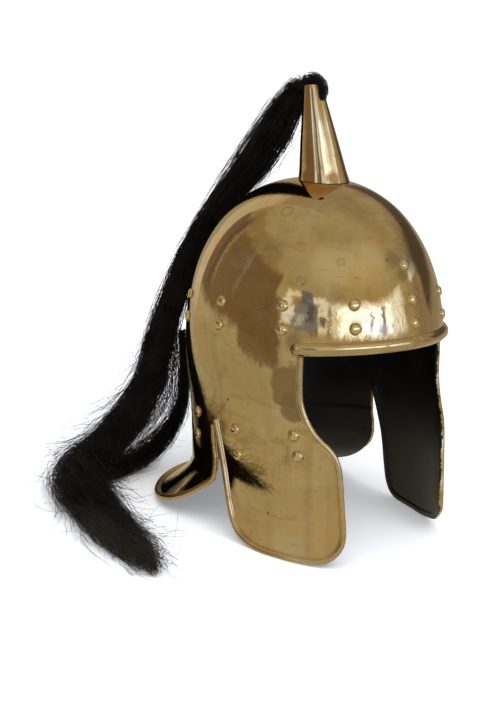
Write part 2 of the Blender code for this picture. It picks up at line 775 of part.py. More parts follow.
def lock_stations(places, index, share):
    """One lock of the bundle, offset from its middle and twisting slowly."""
    made = []
    count = max(6, round(len(places) * share))
    phase = math.tau * index / (PLUME_LOCKS - 1)
    for spot in range(count):
        point, width = places[spot]
        before = places[max(spot - 1, 0)][0]
        after = places[min(spot + 1, len(places) - 1)][0]
        along = (after - before).normalized()
        side = along.cross(Vector((0.0, 0.0, 1.0)))
        if side.length < 0.3:
            side = Vector((0.83, 0.55, 0.0))
        side.normalize()
        rise = side.cross(along).normalized()
        flat = smooth((spot - PLUME_FLOOR_FROM + 3) / 4.0)
        spread = 0.0 if index == 0 else width * 0.50
        turn = phase + 0.10 * spot
        offset = side * math.cos(turn) * spread * (1.0 + 0.25 * flat)
        offset += rise * math.sin(turn) * spread * (1.0 - 0.65 * flat)
        taper = 1.0 - smooth((spot - count + 5) / 5.0) * 0.62
        radius = width * LOCK_SHARE * taper
        tall = radius * (1.0 - 0.28 * flat)
        centre = point + offset
        centre.z = max(centre.z, tall + SEAT)
        made.append((centre, radius, tall))
    return made


def join_solids(solids, name):
    """Boolean union of overlapping solids into the first."""
    body = solids[0]
    for index, other in enumerate(solids[1:]):
        union = body.modifiers.new(f"join_{index}", "BOOLEAN")
        union.operation = "UNION"
        union.solver = "EXACT"
        union.object = other
    depsgraph = bpy.context.evaluated_depsgraph_get()
    joined = bpy.data.meshes.new_from_object(body.evaluated_get(depsgraph))
    joined.name = name
    return joined


def plume_mesh(name, mouth, lean, cutters):
    """Locks of hair fused to a round root that stands in the socket."""
    places = plume_places(PLUME_RUN, mouth, mouth + lean * ROOT_RISE)
    solids = []
    root_radius = (SOCKET_TOP - SOCKET_SHEET) * 0.90
    root_low = mouth - lean * ROOT_DEPTH
    root_high = mouth + lean * (ROOT_RISE - 0.001)
    root = tube("root", [(root_low, root_radius, root_radius),
                         (root_high, root_radius, root_radius)], 12)
    solids.append(root)
    ends = (1.0, 0.97, 0.90, 1.0, 0.94, 0.86, 0.98)
    for index in range(PLUME_LOCKS):
        stations = lock_stations(places, index, ends[index % len(ends)])
        solids.append(tube(f"lock_{index}", stations, 7))
    loose = []
    for point, width in plume_places(LOOSE_RUN, mouth):
        point.z = max(point.z, width * 0.8 + SEAT)
        loose.append((point, width, width * 0.8))
    solids.append(tube("loose_lock", loose, 6))
    made = []
    for index, mesh in enumerate(solids):
        piece = bpy.data.objects.new(f"plume_piece_{index}", mesh)
        cutters.objects.link(piece)
        piece.display_type = "WIRE"
        piece.hide_render = True
        made.append(piece)
    return join_solids(made, name), made


def rest_points(pieces):
    """Every corner of the finished pieces, in the frame they are shaped in."""
    depsgraph = bpy.context.evaluated_depsgraph_get()
    points = []
    for piece in pieces:
        shaped = piece.evaluated_get(depsgraph).to_mesh()
        points.extend(vert.co.copy() for vert in shaped.vertices)
    return points


def rest_tilt(points):
    """Angle by which the helmet pitches back before the neck guard meets the table
    that the cheek guards stand on."""
    low, high = 0.0, math.radians(30.0)
    for step in range(40):
        middle = (low + high) / 2
        drop = math.sin(middle)
        keep = math.cos(middle)
        front = min(point.z * keep - point.y * drop for point in points if point.y < 0.0)
        rear = min(point.z * keep - point.y * drop for point in points if point.y >= 0.0)
        if front > rear:
            high = middle
        else:
            low = middle
    return (low + high) / 2


def build():
    for old in list(bpy.data.objects):
        bpy.data.objects.remove(old, do_unlink=True)
    scene = bpy.context.scene
    parts = bpy.data.collections.new("charioteer_helmet")
    cutters = bpy.data.collections.new("construction")
    scene.collection.children.link(parts)
    scene.collection.children.link(cutters)
    cutters.hide_render = True
    brass = material("brass", BRASS, 0.22, 1.0)
    rivet_brass = material("rivet_brass", RIVET_BRASS, 0.25, 1.0)
    horsehair = material("horsehair", HORSEHAIR, 0.55, 0.0)

    sheet, top_holes = shell_mesh()
    shell = add_object("brass_shell", sheet, brass, parts)
    wall = shell.modifiers.new("sheet", "SOLIDIFY")
    wall.thickness = SHEET
    wall.offset = -1.0
    wall.use_even_offset = True
    outside = BVHTree.FromPolygons([vert.co.copy() for vert in sheet.vertices],
                                   [tuple(face.vertices) for face in sheet.polygons])
    pieces = [shell]
    pieces.append(add_object("brow_bead", brow_bead("brow_bead"), brass, parts))
    for side, name in ((-1, "right_cheek_rim"), (1, "left_cheek_rim")):
        pieces.append(add_object(name, cheek_rim(side, name, outside), brass, parts))
    rim = neck_rim("neck_guard_rim", outside)
    pieces.append(add_object("neck_guard_rim", rim, brass, parts))
    pieces.append(add_object("plume_socket", socket_mesh("plume_socket"), brass, parts))
    for name, angle, level in rivet_places():
        pieces.append(add_object(name, rivet_mesh(name, angle, level), rivet_brass, parts))
    for index, (angle, level) in enumerate(top_holes):
        drill = bmesh.new()
        bmesh.ops.create_cone(drill, cap_ends=True, segments=6, radius1=SHANK_HOLE,
                              radius2=SHANK_HOLE, depth=SHEET * 10)
        mesh = bpy.data.meshes.new(f"drill_{index}")
        drill.to_mesh(mesh)
        drill.free()
        cutter = bpy.data.objects.new(f"drill_{index}", mesh)
        cutters.objects.link(cutter)
        cutter.display_type = "WIRE"
        cutter.hide_render = True
        turn = skin_normal(angle, level).to_track_quat("Z", "Y").to_matrix().to_4x4()
        cutter.matrix_world = Matrix.Translation(skin(angle, level)) @ turn
        hole = shell.modifiers.new(f"hole_{index}", "BOOLEAN")
        hole.operation = "DIFFERENCE"
        hole.solver = "EXACT"
        hole.object = cutter

    # onto the table: pitched back until the cheeks and the neck guard both touch it
    tilt = Matrix.Rotation(-rest_tilt(rest_points(pieces[:5])), 4, "X")
    lowest = min((tilt @ point).z for point in rest_points(pieces[:5]))
    place = Matrix.Translation((0.0, 0.0, -lowest)) @ tilt
    foot, lean = socket_axis()
    mouth = place @ (foot + lean * SOCKET_HEIGHT)
    mesh, used = plume_mesh("horsehair_plume", mouth, (tilt @ lean).normalized(), cutters)
    plume = add_object("horsehair_plume", mesh, horsehair, parts)
    for piece in used:
        bpy.data.objects.remove(piece, do_unlink=True)

    # the middle of the whole, on the table, is the origin
    spots = [place @ point for point in rest_points(pieces)]
    spots += rest_points([plume])
    middle = Vector((0.0, 0.0, 0.0))
    for axis in range(2):
        values = [spot[axis] for spot in spots]
        middle[axis] = (min(values) + max(values)) / 2.0
    plume.location = -middle
    stand = bpy.data.objects.new("stand", None)
    cutters.objects.link(stand)
    stand.matrix_world = Matrix.Translation(-middle) @ place
    for piece in pieces:
        piece.parent = stand
    for cutter in cutters.objects:
        if cutter.name.startswith("drill_"):
            cutter.parent = stand


build()
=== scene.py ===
import math
import random
import bmesh
import bpy
import numpy as np
from mathutils import Matrix, Vector, noise
from mathutils.bvhtree import BVHTree
from mathutils.geometry import delaunay_2d_cdt


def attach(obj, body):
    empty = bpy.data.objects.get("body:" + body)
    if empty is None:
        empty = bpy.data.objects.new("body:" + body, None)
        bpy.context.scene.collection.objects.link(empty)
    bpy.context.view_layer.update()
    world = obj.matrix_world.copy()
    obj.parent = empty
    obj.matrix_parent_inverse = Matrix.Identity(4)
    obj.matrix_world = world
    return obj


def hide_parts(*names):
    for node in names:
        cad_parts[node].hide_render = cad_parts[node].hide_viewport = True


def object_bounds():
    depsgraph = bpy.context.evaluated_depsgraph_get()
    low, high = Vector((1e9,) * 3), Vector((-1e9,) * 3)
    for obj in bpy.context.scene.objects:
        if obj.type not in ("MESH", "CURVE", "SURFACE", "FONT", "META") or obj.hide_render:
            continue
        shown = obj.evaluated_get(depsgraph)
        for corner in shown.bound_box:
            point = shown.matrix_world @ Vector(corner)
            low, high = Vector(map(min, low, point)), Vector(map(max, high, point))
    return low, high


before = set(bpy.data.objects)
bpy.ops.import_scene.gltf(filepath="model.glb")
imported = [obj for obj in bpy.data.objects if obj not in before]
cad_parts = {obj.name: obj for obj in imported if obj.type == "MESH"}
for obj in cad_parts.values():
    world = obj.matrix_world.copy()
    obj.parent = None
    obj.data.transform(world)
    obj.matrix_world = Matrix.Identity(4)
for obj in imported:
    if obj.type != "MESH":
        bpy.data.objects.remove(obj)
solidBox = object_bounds()
scene = bpy.context.scene
random.seed(11)


# one socket of a node tree: an expression on it adds its Math nodes
class Wire:
    def __init__(self, finish, socket):
        self.finish = finish
        self.socket = socket

    def maths(self, operation, *others):
        values = dict(enumerate((self,) + others))
        return self.finish.add("ShaderNodeMath", {"operation": operation}, values)

    def __add__(self, other):
        return self.maths("ADD", other)

    def __sub__(self, other):
        return self.maths("SUBTRACT", other)

    def __mul__(self, other):
        return self.maths("MULTIPLY", other)

    def __rsub__(self, other):
        return self.finish.add("ShaderNodeMath", {"operation": "SUBTRACT"}, {0: other, 1: self})

    __radd__ = __add__
    __rmul__ = __mul__

    def ramp(self, low, high, first=0.0, last=1.0):
        # eased change from the first value to the last between low and high
        return self.finish.add("ShaderNodeMapRange", {"interpolation_type": "SMOOTHSTEP"},
                               {0: self, 1: low, 2: high, 3: first, 4: last})

    def between(self, low, high, soft):
        return self.ramp(low - soft, low + soft) * self.ramp(high - soft, high + soft, 1.0, 0.0)


# a material or the world, with its nodes
class Finish:
    def __init__(self, owner, **plain):
        self.owner = owner
        owner.use_nodes = True
        self.tree = owner.node_tree
        self.shader = self.tree.nodes.get("Principled BSDF") or self.tree.nodes.get("Background")
        for name, value in plain.items():
            self.feed(name, value)

    def add(self, kind, settings=None, values=None, out=0):
        node = self.tree.nodes.new(kind)
        for name, value in (settings or {}).items():
            setattr(node, name, value)
        for name, value in (values or {}).items():
            self.feed(name, value, node)
        return Wire(self, node.outputs[out])

    def feed(self, name, value, node=None):
        # into the named input of a node, or else of the shader
        socket = (node or self.shader).inputs[name]
        if isinstance(value, Wire):
            self.tree.links.new(value.socket, socket)
        else:
            socket.default_value = value

    def blend(self, share, first, second):
        first = first if isinstance(first, Wire) else (*first, 1.0)
        second = second if isinstance(second, Wire) else (*second, 1.0)
        return self.add("ShaderNodeMix", {"data_type": "RGBA", "clamp_factor": True},
                        {0: share, 6: first, 7: second}, 2)

    def place(self):
        return self.add("ShaderNodeTexCoord", out=3)

    def split(self, vector):
        made = self.add("ShaderNodeSeparateXYZ", values={0: vector})
        return [Wire(self, made.socket.node.outputs[axis]) for axis in range(3)]

    def noise(self, scale, detail=3.0, rough=0.5, where=None, stretch=None):
        where = where or self.place()
        if stretch:
            where = self.add("ShaderNodeVectorMath", {"operation": "MULTIPLY"}, {0: where, 1: stretch})
        return self.add("ShaderNodeTexNoise", values={"Vector": where, "Scale": scale, "Detail": detail,
                                                      "Roughness": rough})

    def spot(self, centre, radius, soft=0.35, warp=None):
        # 1 inside a round place, 0 outside
        where = self.place()
        far = self.add("ShaderNodeVectorMath", {"operation": "DISTANCE"}, {0: where, 1: centre}, 1)
        if warp:
            far = far + warp
        return far.ramp(radius * (1 - soft), radius * (1 + soft), 1.0, 0.0)

    def bump(self, height):
        # the shader's normal from a height in metres
        made = self.add("ShaderNodeBump", values={"Height": height, "Strength": 1.0, "Distance": 1.0})
        self.feed("Normal", made)


def newFinish(name, **plain):
    return Finish(bpy.data.materials.new(name), **plain)


def newMesh(name, verts, faces, sharpFrom=None):
    # smooth mesh with sharp edges from an angle in degrees
    mesh = bpy.data.meshes.new(name)
    mesh.from_pydata([tuple(vert) for vert in verts], [], faces)
    mesh.polygons.foreach_set("use_smooth", [True] * len(faces))
    if sharpFrom:
        mesh.set_sharp_from_angle(angle=math.radians(sharpFrom))
    return mesh


def ringFaces(low, high, count):
    # faces between two rings, each given by the number of its first point
    return [(low + index, low + (index + 1) % count, high + (index + 1) % count, high + index)
            for index in range(count)]


def fanFaces(ring, count, tip):
    return [(ring + index, ring + (index + 1) % count, tip) for index in range(count)]


# camera
view = {
    "place": (-1.08546, -1.04988, 0.61372),
    "turn": (72.857, -6.1259, -44.0389),
    "lens": 91.998,
}
camera = bpy.data.objects.new("camera", bpy.data.cameras.new("camera"))
scene.collection.objects.link(camera)
camera.location = view["place"]
camera.rotation_euler = [math.radians(turn) for turn in view["turn"]]
camera.data.lens = view["lens"]
camera.data.sensor_width = 36.0
camera.data.clip_start = 0.05
camera.data.clip_end = 200.0
scene.camera = camera
print("camera set")


# the skull and its guards: one sheet, in the helmet's own frame
skull = {
    "halfWidth": 0.1084,
    "halfDepth": 0.1200,
    "rise": 0.1466,
    "fullness": 2.22,
    "sheet": 0.0012,
    "drawIn": 0.045,
    "drawDepth": 0.070,
    "cheekDrop": 0.1712,
    "bandTop": 0.058,
    "grid": 0.0026,
    "columns": 276,
    "crownRings": 48,
}
# how the helmet stands: pitched back on its cheek guards and neck guard
standing = {"shift": (0.05447, -0.021689, 0.159246), "pitch": math.radians(-8.68562)}
stand = Matrix.Translation(standing["shift"]) @ Matrix.Rotation(standing["pitch"], 4, "X")
# cheek guard, front edge: degrees from the front, share of the drop
cheekFront = (
    (53.5, -0.090), (53.8, 0.000), (53.9, 0.060), (53.9, 0.120), (53.6, 0.180),
    (52.2, 0.238), (50.4, 0.285), (48.0, 0.330), (45.2, 0.367), (42.2, 0.400),
    (39.6, 0.440), (38.0, 0.480), (37.0, 0.530), (36.4, 0.600), (35.9, 0.680),
    (35.4, 0.760), (35.0, 0.830), (35.1, 0.872), (36.0, 0.912), (38.2, 0.950),
    (41.4, 0.980), (46.0, 0.998),
)
# cheek guard, lower and rear edge: share of the half depth behind the middle, share of the drop
cheekRear = (
    (-0.560, 0.996), (-0.420, 0.984), (-0.300, 0.973), (-0.215, 0.957), (-0.140, 0.932),
    (-0.075, 0.897), (-0.035, 0.860), (-0.005, 0.815), (0.025, 0.740), (0.048, 0.660),
    (0.072, 0.580), (0.098, 0.510), (0.122, 0.450), (0.146, 0.395), (0.160, 0.360),
    (0.168, 0.340),
)
# the left cheek guard is shorter in front and fuller behind: rows instead of those past the two drops
leftCheek = {
    "frontFrom": 0.70,
    "rearFrom": 0.60,
    "front": ((35.3, 0.740), (35.2, 0.790), (37.0, 0.843), (40.9, 0.885), (46.8, 0.930)),
    "rear": (
        (-0.587, 0.966), (-0.496, 0.978), (-0.388, 0.980), (-0.300, 0.971), (-0.215, 0.962),
        (-0.150, 0.954), (-0.105, 0.947), (-0.069, 0.936), (-0.031, 0.914), (-0.002, 0.880),
        (0.017, 0.840), (0.029, 0.790), (0.041, 0.730), (0.055, 0.650),
    ),
}
neck = {
    "drop": 0.1390,
    "reach": 0.0290,
    "edge": math.radians(98.9),
    "split": math.radians(98.4),
    "slope": 0.45,
    "bend": 0.0220,
    "notchTop": 0.0590,
    "start": 0.0800,
    "span": 0.1000,
}
# rim of the neck guard: degrees from the front, share of the reach, share of the drop
neckRim = (
    (98.9, -0.17, 0.720), (99.4, -0.17, 0.765), (100.6, -0.16, 0.802), (102.6, -0.10, 0.832),
    (105.0, 0.00, 0.858), (110.0, 0.24, 0.912), (115.0, 0.50, 0.958), (120.0, 0.72, 0.988),
    (127.0, 0.90, 1.008), (135.0, 0.98, 1.013), (145.0, 1.00, 1.006), (155.0, 1.02, 0.998),
    (165.0, 1.03, 0.991), (180.0, 1.03, 0.986),
)
browLine = {
    "rise": 0.0135,
    "arch": 0.0020,
    "span": math.radians(58.5),
    "height": 0.0108,
    "proud": 0.0040,
}


def ease(value):
    value = min(max(value, 0.0), 1.0)
    return value * value * (3.0 - 2.0 * value)


def along(table, key, column):
    # smooth curve through a table's values
    keys = [row[0] for row in table]
    if key <= keys[0]:
        return table[0][column]
    if key >= keys[-1]:
        return table[-1][column]
    spot = next(index for index in range(1, len(keys)) if key <= keys[index])
    low, high = table[spot - 1], table[spot]
    span = high[0] - low[0]
    before = table[spot - 2] if spot > 1 else low
    after = table[spot + 1] if spot + 1 < len(table) else high
    risesIn = (high[column] - before[column]) / max(high[0] - before[0], 1e-9) * span
    risesOut = (after[column] - low[column]) / max(after[0] - low[0], 1e-9) * span
    t = (key - low[0]) / span
    return ((2 * t ** 3 - 3 * t ** 2 + 1) * low[column] + (t ** 3 - 2 * t ** 2 + t) * risesIn
            + (3 * t ** 2 - 2 * t ** 3) * high[column] + (t ** 3 - t ** 2) * risesOut)


def drawIn(angle, drop):
    side = ease((math.degrees(abs(angle)) - 40.0) / 40.0)
    return 1.0 - skull["drawIn"] * side * ease(drop / skull["drawDepth"])


def ellipse(angle, share, reach, height):
    across = (skull["halfWidth"] * share + reach) * math.sin(angle)
    back = -(skull["halfDepth"] * share + reach) * math.cos(angle)
    return Vector((across, back, height))


def skin(angle, level):
    # point of the outer skin; level is the height, and on the neck guard the run
    if level >= 0.0:
        share = (1.0 - min(level / skull["rise"], 1.0) ** skull["fullness"]) ** (1.0 / skull["fullness"])
        return ellipse(angle, share, 0.0, level)
    if abs(angle) <= neck["split"] or -level <= neck["start"]:
        return ellipse(angle, drawIn(angle, -level), 0.0, level)
    degrees = math.degrees(abs(angle))
    wall = -skull["drawIn"] * skull["halfDepth"] * ease((degrees - 40.0) / 40.0)
    rimReach = max(neck["reach"] * along(neckRim, degrees, 1), wall)
    rimHeight = -neck["drop"] * along(neckRim, degrees, 2)
    flare = rimReach - wall
    kneeHeight = rimHeight + neck["slope"] * flare
    startHeight = min(kneeHeight + neck["bend"] * min(1.0, 0.4 + flare / neck["reach"]), -neck["start"])
    share = (-level - neck["start"]) / neck["span"]
    if share <= 0.30:
        return ellipse(angle, 1.0, wall, -neck["start"] + (startHeight + neck["start"]) * share / 0.30)
    step = (share - 0.30) / 0.70
    reach = (1 - step) ** 2 * wall + 2 * step * (1 - step) * (wall + 0.04 * flare) + step ** 2 * rimReach
    height = (1 - step) ** 2 * startHeight + 2 * step * (1 - step) * kneeHeight + step ** 2 * rimHeight
    return ellipse(angle, 1.0, reach, height)


def skinNormal(angle, level):
    near = 0.0004
    turn = near / skull["halfDepth"]
    across = skin(angle + turn, level) - skin(angle - turn, level)
    up = skin(angle, level + near) - skin(angle, level - near)
    return across.cross(up).normalized()


def browLevel(angle):
    share = min(abs(angle) / browLine["span"], 1.0)
    return browLine["rise"] + browLine["arch"] * math.cos(share * math.pi / 2)


def roundOff(points, step):
    # smooth curve through outline points, evenly spaced
    points = [Vector((angle * skull["halfDepth"], level)) for angle, level in points]
    fine = []
    for index in range(len(points) - 1):
        a = points[max(index - 1, 0)]
        b, c = points[index], points[index + 1]
        d = points[min(index + 2, len(points) - 1)]
        for part in range(12):
            t = part / 12
            spot = 0.5 * ((2 * b) + (c - a) * t + (2 * a - 5 * b + 4 * c - d) * t * t
                          + (3 * b - a - 3 * c + d) * t ** 3)
            fine.append(spot)
    fine.append(points[-1])
    lengths = [0.0]
    for first, second in zip(fine, fine[1:]):
        lengths.append(lengths[-1] + (second - first).length)
    count = max(2, round(lengths[-1] / step))
    spots = np.interp(np.linspace(0, lengths[-1], count + 1), lengths, [p.x for p in fine])
    levels = np.interp(np.linspace(0, lengths[-1], count + 1), lengths, [p.y for p in fine])
    return [(x / skull["halfDepth"], y) for x, y in zip(spots, levels)]


def cheekEdge(left):
    rows, rear = list(cheekFront), list(cheekRear)
    if left:
        rows = [row for row in rows if row[1] < leftCheek["frontFrom"]] + list(leftCheek["front"])
        rear = list(leftCheek["rear"]) + [row for row in rear if row[1] < leftCheek["rearFrom"]]
    front = [(math.radians(degrees), -drop * skull["cheekDrop"]) for degrees, drop in rows]
    for behind, drop in rear:
        ring = drawIn(math.radians(90.0), drop * skull["cheekDrop"])
        front.append((math.acos(-behind / ring), -drop * skull["cheekDrop"]))
    return front


def neckSide():
    points = []
    first, last = neck["notchTop"] + 0.004, neck["start"] + neck["span"]
    for index in range(8):
        share = index / 8
        drop = first + (last - first) * share
        points.append((neck["edge"] + math.radians(1.1) * (1.0 - ease(share * 2.2)), -drop))
    points.append((neck["edge"], -last))
    return points


def undulate(point):
    # hand-beaten unevenness of the sheet, outwards in metres
    return noise.noise(point * 26.0) * 0.00010 + noise.noise(point * 55.0 + Vector((3, 1, 7))) * 0.00004


def buildShell():
    grid = skull["grid"]
    depth = skull["halfDepth"]
    lowest = -neck["start"] - neck["span"]
    columns = skull["columns"]
    turns = [math.pi * 2 * index / columns - math.pi for index in range(columns + 1)]
    side = roundOff(neckSide(), 0.0018)
    rim = []
    degrees = 180.0
    while degrees > 99.4:
        degrees -= 0.25 if degrees < 110 else 0.8
        rim.append((math.radians(max(degrees, 98.95)), lowest))
    halves = {}
    for left in (True, False):
        cheek = [point for point in roundOff(cheekEdge(left), 0.0016)
                 if point[1] < browLevel(point[0]) - 0.001]
        half = [(math.pi, lowest)] + rim + list(reversed(side))[1:] + list(reversed(cheek))
        for index in range(51):
            angle = cheek[0][0] * (1 - index / 50)
            half.append((angle, browLevel(angle) - browLine["height"] * 0.3))
        halves[left] = half
    band = [(turn, skull["bandTop"]) for turn in turns]
    rows = np.arange(skull["bandTop"] - grid, lowest + grid / 2, -grid)
    loop = band + [(math.pi, level) for level in rows] + halves[True]
    loop += [(-angle, level) for angle, level in reversed(halves[False][:-1])]
    loop += [(-math.pi, level) for level in reversed(rows)]
    flat = np.array([(angle * depth, level) for angle, level in loop])
    keep = np.ones(len(flat), bool)
    keep[1:] = np.hypot(*(flat[1:] - flat[:-1]).T) > 1e-6
    flat = flat[keep]
    across, down = np.meshgrid(np.array(turns[1:-1]) * depth, rows)
    down = down + (np.arange(across.shape[1]) % 2)[None, :] * grid * 0.5
    dots = np.stack([across.ravel(), down.ravel()], 1)
    following = np.roll(flat, -1, 0)
    inside = np.zeros(len(dots), bool)
    near = np.full(len(dots), 1e9)
    for (ax, ay), (bx, by) in zip(flat, following):
        if ay != by:
            cross = ((ay > dots[:, 1]) != (by > dots[:, 1])) & (
                dots[:, 0] < (bx - ax) * (dots[:, 1] - ay) / (by - ay) + ax)
            inside ^= cross
        share = ((dots[:, 0] - ax) * (bx - ax) + (dots[:, 1] - ay) * (by - ay)) / max(
            (bx - ax) ** 2 + (by - ay) ** 2, 1e-14)
        share = np.clip(share, 0, 1)
        far = dots - np.array([ax, ay]) - share[:, None] * np.array([bx - ax, by - ay])
        near = np.minimum(near, np.hypot(*far.T))
    dots = dots[inside & (near > grid * 0.45)]
    points = [Vector(spot) for spot in flat] + [Vector(spot) for spot in dots]
    edges = [(index, (index + 1) % len(flat)) for index in range(len(flat))]
    found = delaunay_2d_cdt(points, edges, [], 1, 1e-7)
    verts = [skin(spot.x / depth, spot.y) for spot in found[0]]
    faces = [tuple(face) for face in found[2]]
    # the crown, ring by ring to the pole
    startTurn = math.asin((skull["bandTop"] / skull["rise"]) ** (skull["fullness"] / 2.0))
    rings = skull["crownRings"]
    base = len(verts)
    for row in range(rings):
        turn = startTurn + (math.pi / 2 - startTurn) * row / rings
        level = skull["rise"] * math.sin(turn) ** (2.0 / skull["fullness"]) if row else skull["bandTop"]
        verts += [skin(angle, level) for angle in turns[:-1]]
    for row in range(rings - 1):
        faces += ringFaces(base + row * columns, base + (row + 1) * columns, columns)
    faces += fanFaces(base + (rings - 1) * columns, columns, len(verts))
    verts.append(Vector((0.0, 0.0, skull["rise"])))
    mesh = newMesh("outside", verts, faces)
    work = bmesh.new()
    work.from_mesh(mesh)
    bmesh.ops.remove_doubles(work, verts=work.verts, dist=2e-5)
    bmesh.ops.recalc_face_normals(work, faces=work.faces)
    work.normal_update()
    for vert in work.verts:
        vert.co = vert.co + vert.normal * undulate(vert.co)
    work.normal_update()
    outer = list(work.verts)
    outerFaces = list(work.faces)
    normals = [vert.normal.copy() for vert in outer]
    work.verts.index_update()
    inner = [work.verts.new(vert.co - normal * skull["sheet"]) for vert, normal in zip(outer, normals)]
    border = [edge for edge in work.edges if len(edge.link_faces) == 1]
    rims = []
    for edge in border:
        loopOf = edge.link_loops[0]
        rims.append((loopOf.vert.index, loopOf.link_loop_next.vert.index))
    for face in outerFaces:
        made = work.faces.new([inner[vert.index] for vert in reversed(face.verts)])
        made.material_index = 1
        made.smooth = True
        face.smooth = True
    for first, second in rims:
        made = work.faces.new((outer[second], outer[first], inner[first], inner[second]))
        made.smooth = False
    for edge in work.edges:
        if len({face.smooth for face in edge.link_faces}) == 2:
            edge.smooth = False
    work.to_mesh(mesh)
    work.free()
    return mesh


shellMesh = buildShell()
print("sheet made:", len(shellMesh.polygons), "faces")


def addPiece(name, mesh, finishes, nodes, resting=False):
    piece = bpy.data.objects.new(name, mesh)
    scene.collection.objects.link(piece)
    if not resting:
        mesh.transform(stand)
    for finish in finishes:
        mesh.materials.append(finish.owner)
    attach(piece, "root")
    if nodes:
        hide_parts(*nodes)
    return piece


# polished brass with hand marks, a little tarnish and patches of painted reflection
brassLook = {
    "colour": (0.69, 0.475, 0.228),
    "khaki": (0.55, 0.415, 0.225),
    "worn": (0.45, 0.300, 0.145),
    "warm": (0.62, 0.375, 0.125),
    "pale": (0.68, 0.565, 0.370),
    # colour of the painted reflection of the darker room
    "reflectedBrown": (0.30, 0.195, 0.095),
    "tarnish": (0.13, 0.095, 0.055),
}


def brassFinish(name, wear=1.0, marks=(), smudges=(), dull=0.0, darkReflections=(), smear=0.45):
    finish = newFinish(name, Metallic=1.0)
    cloud = finish.noise(13.0, 5.0, 0.6)
    patchy = finish.noise(38.0, 6.0, 0.65)
    fine = finish.noise(110.0, 5.0, 0.6)
    colour = finish.blend(cloud.ramp(0.36, 0.66) * 0.8, brassLook["colour"], brassLook["khaki"])
    colour = finish.blend(patchy.ramp(0.52, 0.70) * 0.5 * wear, colour, brassLook["worn"])
    hue = finish.noise(17.0, 6.0, 0.68, None, (1.0, 1.0, 1.7))
    colour = finish.blend(hue.ramp(0.50, 0.66) * 0.6, colour, brassLook["warm"])
    colour = finish.blend(hue.ramp(0.48, 0.34) * 0.6, colour, brassLook["pale"])
    wisps = finish.noise(26.0, 7.0, 0.72, None, (1.0, 1.0, 4.0))
    colour = finish.blend(wisps.ramp(0.55, 0.64) * 0.45 * wear, colour, brassLook["worn"])
    specks = finish.noise(230.0, 3.0, 0.6)
    colour = finish.blend(specks.ramp(0.68, 0.74) * 0.5 * wear, colour, brassLook["tarnish"])
    rough = 0.025 + dull + cloud * 0.03 + patchy.ramp(0.48, 0.78) * 0.07
    rough = rough + wisps.ramp(0.50, 0.66) * 0.05 + fine * 0.02
    beaten = finish.noise(7.0, 2.0, 0.5) * 0.00011 + finish.noise(34.0, 2.0, 0.5) * 0.00010
    height = beaten + fine * 0.000008
    for centre, radius in smudges:
        edge = (patchy - 0.5) * radius * 1.6
        soft = finish.spot(tuple(stand @ Vector(centre)), radius, 0.6, edge)
        colour = finish.blend(soft * smear, colour, brassLook["tarnish"])
        rough = rough + soft * 0.10
    # painted reflection: dark patches where the brass mirrors the darker room, painted into its colour
    for centre, radius in darkReflections:
        edge = (hue - 0.5) * radius * 2.2 + (patchy - 0.5) * radius * 0.7
        reflectionPatch = finish.spot(tuple(stand @ Vector(centre)), radius, 0.14, edge)
        colour = finish.blend(reflectionPatch * 0.85, colour, brassLook["reflectedBrown"])
    for centre, radius, deep in marks:
        centre = tuple(stand @ Vector(centre))
        wobble = (patchy - 0.5) * radius * 0.9
        inner = finish.spot(centre, radius * 0.76, 0.20, wobble)
        outer = finish.spot(centre, radius, 0.16, wobble)
        ring = outer - inner
        colour = finish.blend(ring * 0.34 + inner * deep, colour, brassLook["tarnish"])
        height = height - ring * 0.00008 - inner * deep * 0.0002
    finish.feed("Base Color", colour)
    finish.feed("Roughness", rough)
    finish.bump(height)
    return finish


blackPaint = newFinish("black paint", **{"Metallic": 0.0, "Specular IOR Level": 0.28})
brushed = blackPaint.noise(38.0, 4.0, 0.6)
paintTone = blackPaint.blend(brushed.ramp(0.3, 0.8), (0.0070, 0.0055, 0.0052), (0.015, 0.012, 0.011))
blackPaint.feed("Base Color", paintTone)
blackPaint.feed("Roughness", 0.26 + brushed * 0.22)
blackPaint.bump(brushed * 0.0003 + blackPaint.noise(180.0) * 0.00003)

# by degrees from the front, height and size; a mark also has the share of tarnish inside it
dents = {
    "marks": (
        (-36.1, 0.0851, 0.0038, 0.10), (-69.2, 0.1233, 0.0062, 0.04), (2.5, 0.1353, 0.0052, 0.06),
        (-10.7, 0.0850, 0.0018, 0.60), (-55.2, 0.0698, 0.0046, 0.10), (-89.7, -0.0367, 0.0011, 0.80),
        (-69.3, -0.1302, 0.0012, 0.70),
    ),
    "smudges": (
        (4.6, 0.0810, 0.0085), (-7.0, 0.0850, 0.0070), (-4.0, 0.0720, 0.0060),
        (-58.0, 0.0200, 0.0060), (-31.0, 0.0330, 0.0050), (-18.0, 0.0300, 0.0040),
    ),
    # patches of painted reflection on the near cheek guard: the darker room it mirrors, painted into the
    # brass
    "darkReflections": ((-58.5, -0.0180, 0.0165), (-57.0, -0.0360, 0.0110)),
}
onSkin = {kind: [(skin(math.radians(turn), level), *sizes) for turn, level, *sizes in rows]
          for kind, rows in dents.items()}
sheetBrass = brassFinish("sheet brass", **onSkin)
# darker, rougher spots at each end of the brow moulding
browEndSpots = [(skin(math.radians(side * 59.0), 0.0135), 0.0045) for side in (-1, 1)]
rimBrass = brassFinish("rim brass", 1.5, smudges=browEndSpots, dull=0.06, smear=0.85)
edgeBrass = brassFinish("edge brass", 1.5, dull=0.20)
addPiece("brassSheet", shellMesh, (sheetBrass, blackPaint), ("brass_shell",))

outsideTree = BVHTree.FromPolygons([vert.co.copy() for vert in shellMesh.vertices],
                                   [tuple(face.vertices) for face in shellMesh.polygons
                                    if face.material_index == 0 and face.use_smooth])


def toWorld(point):
    return stand @ point


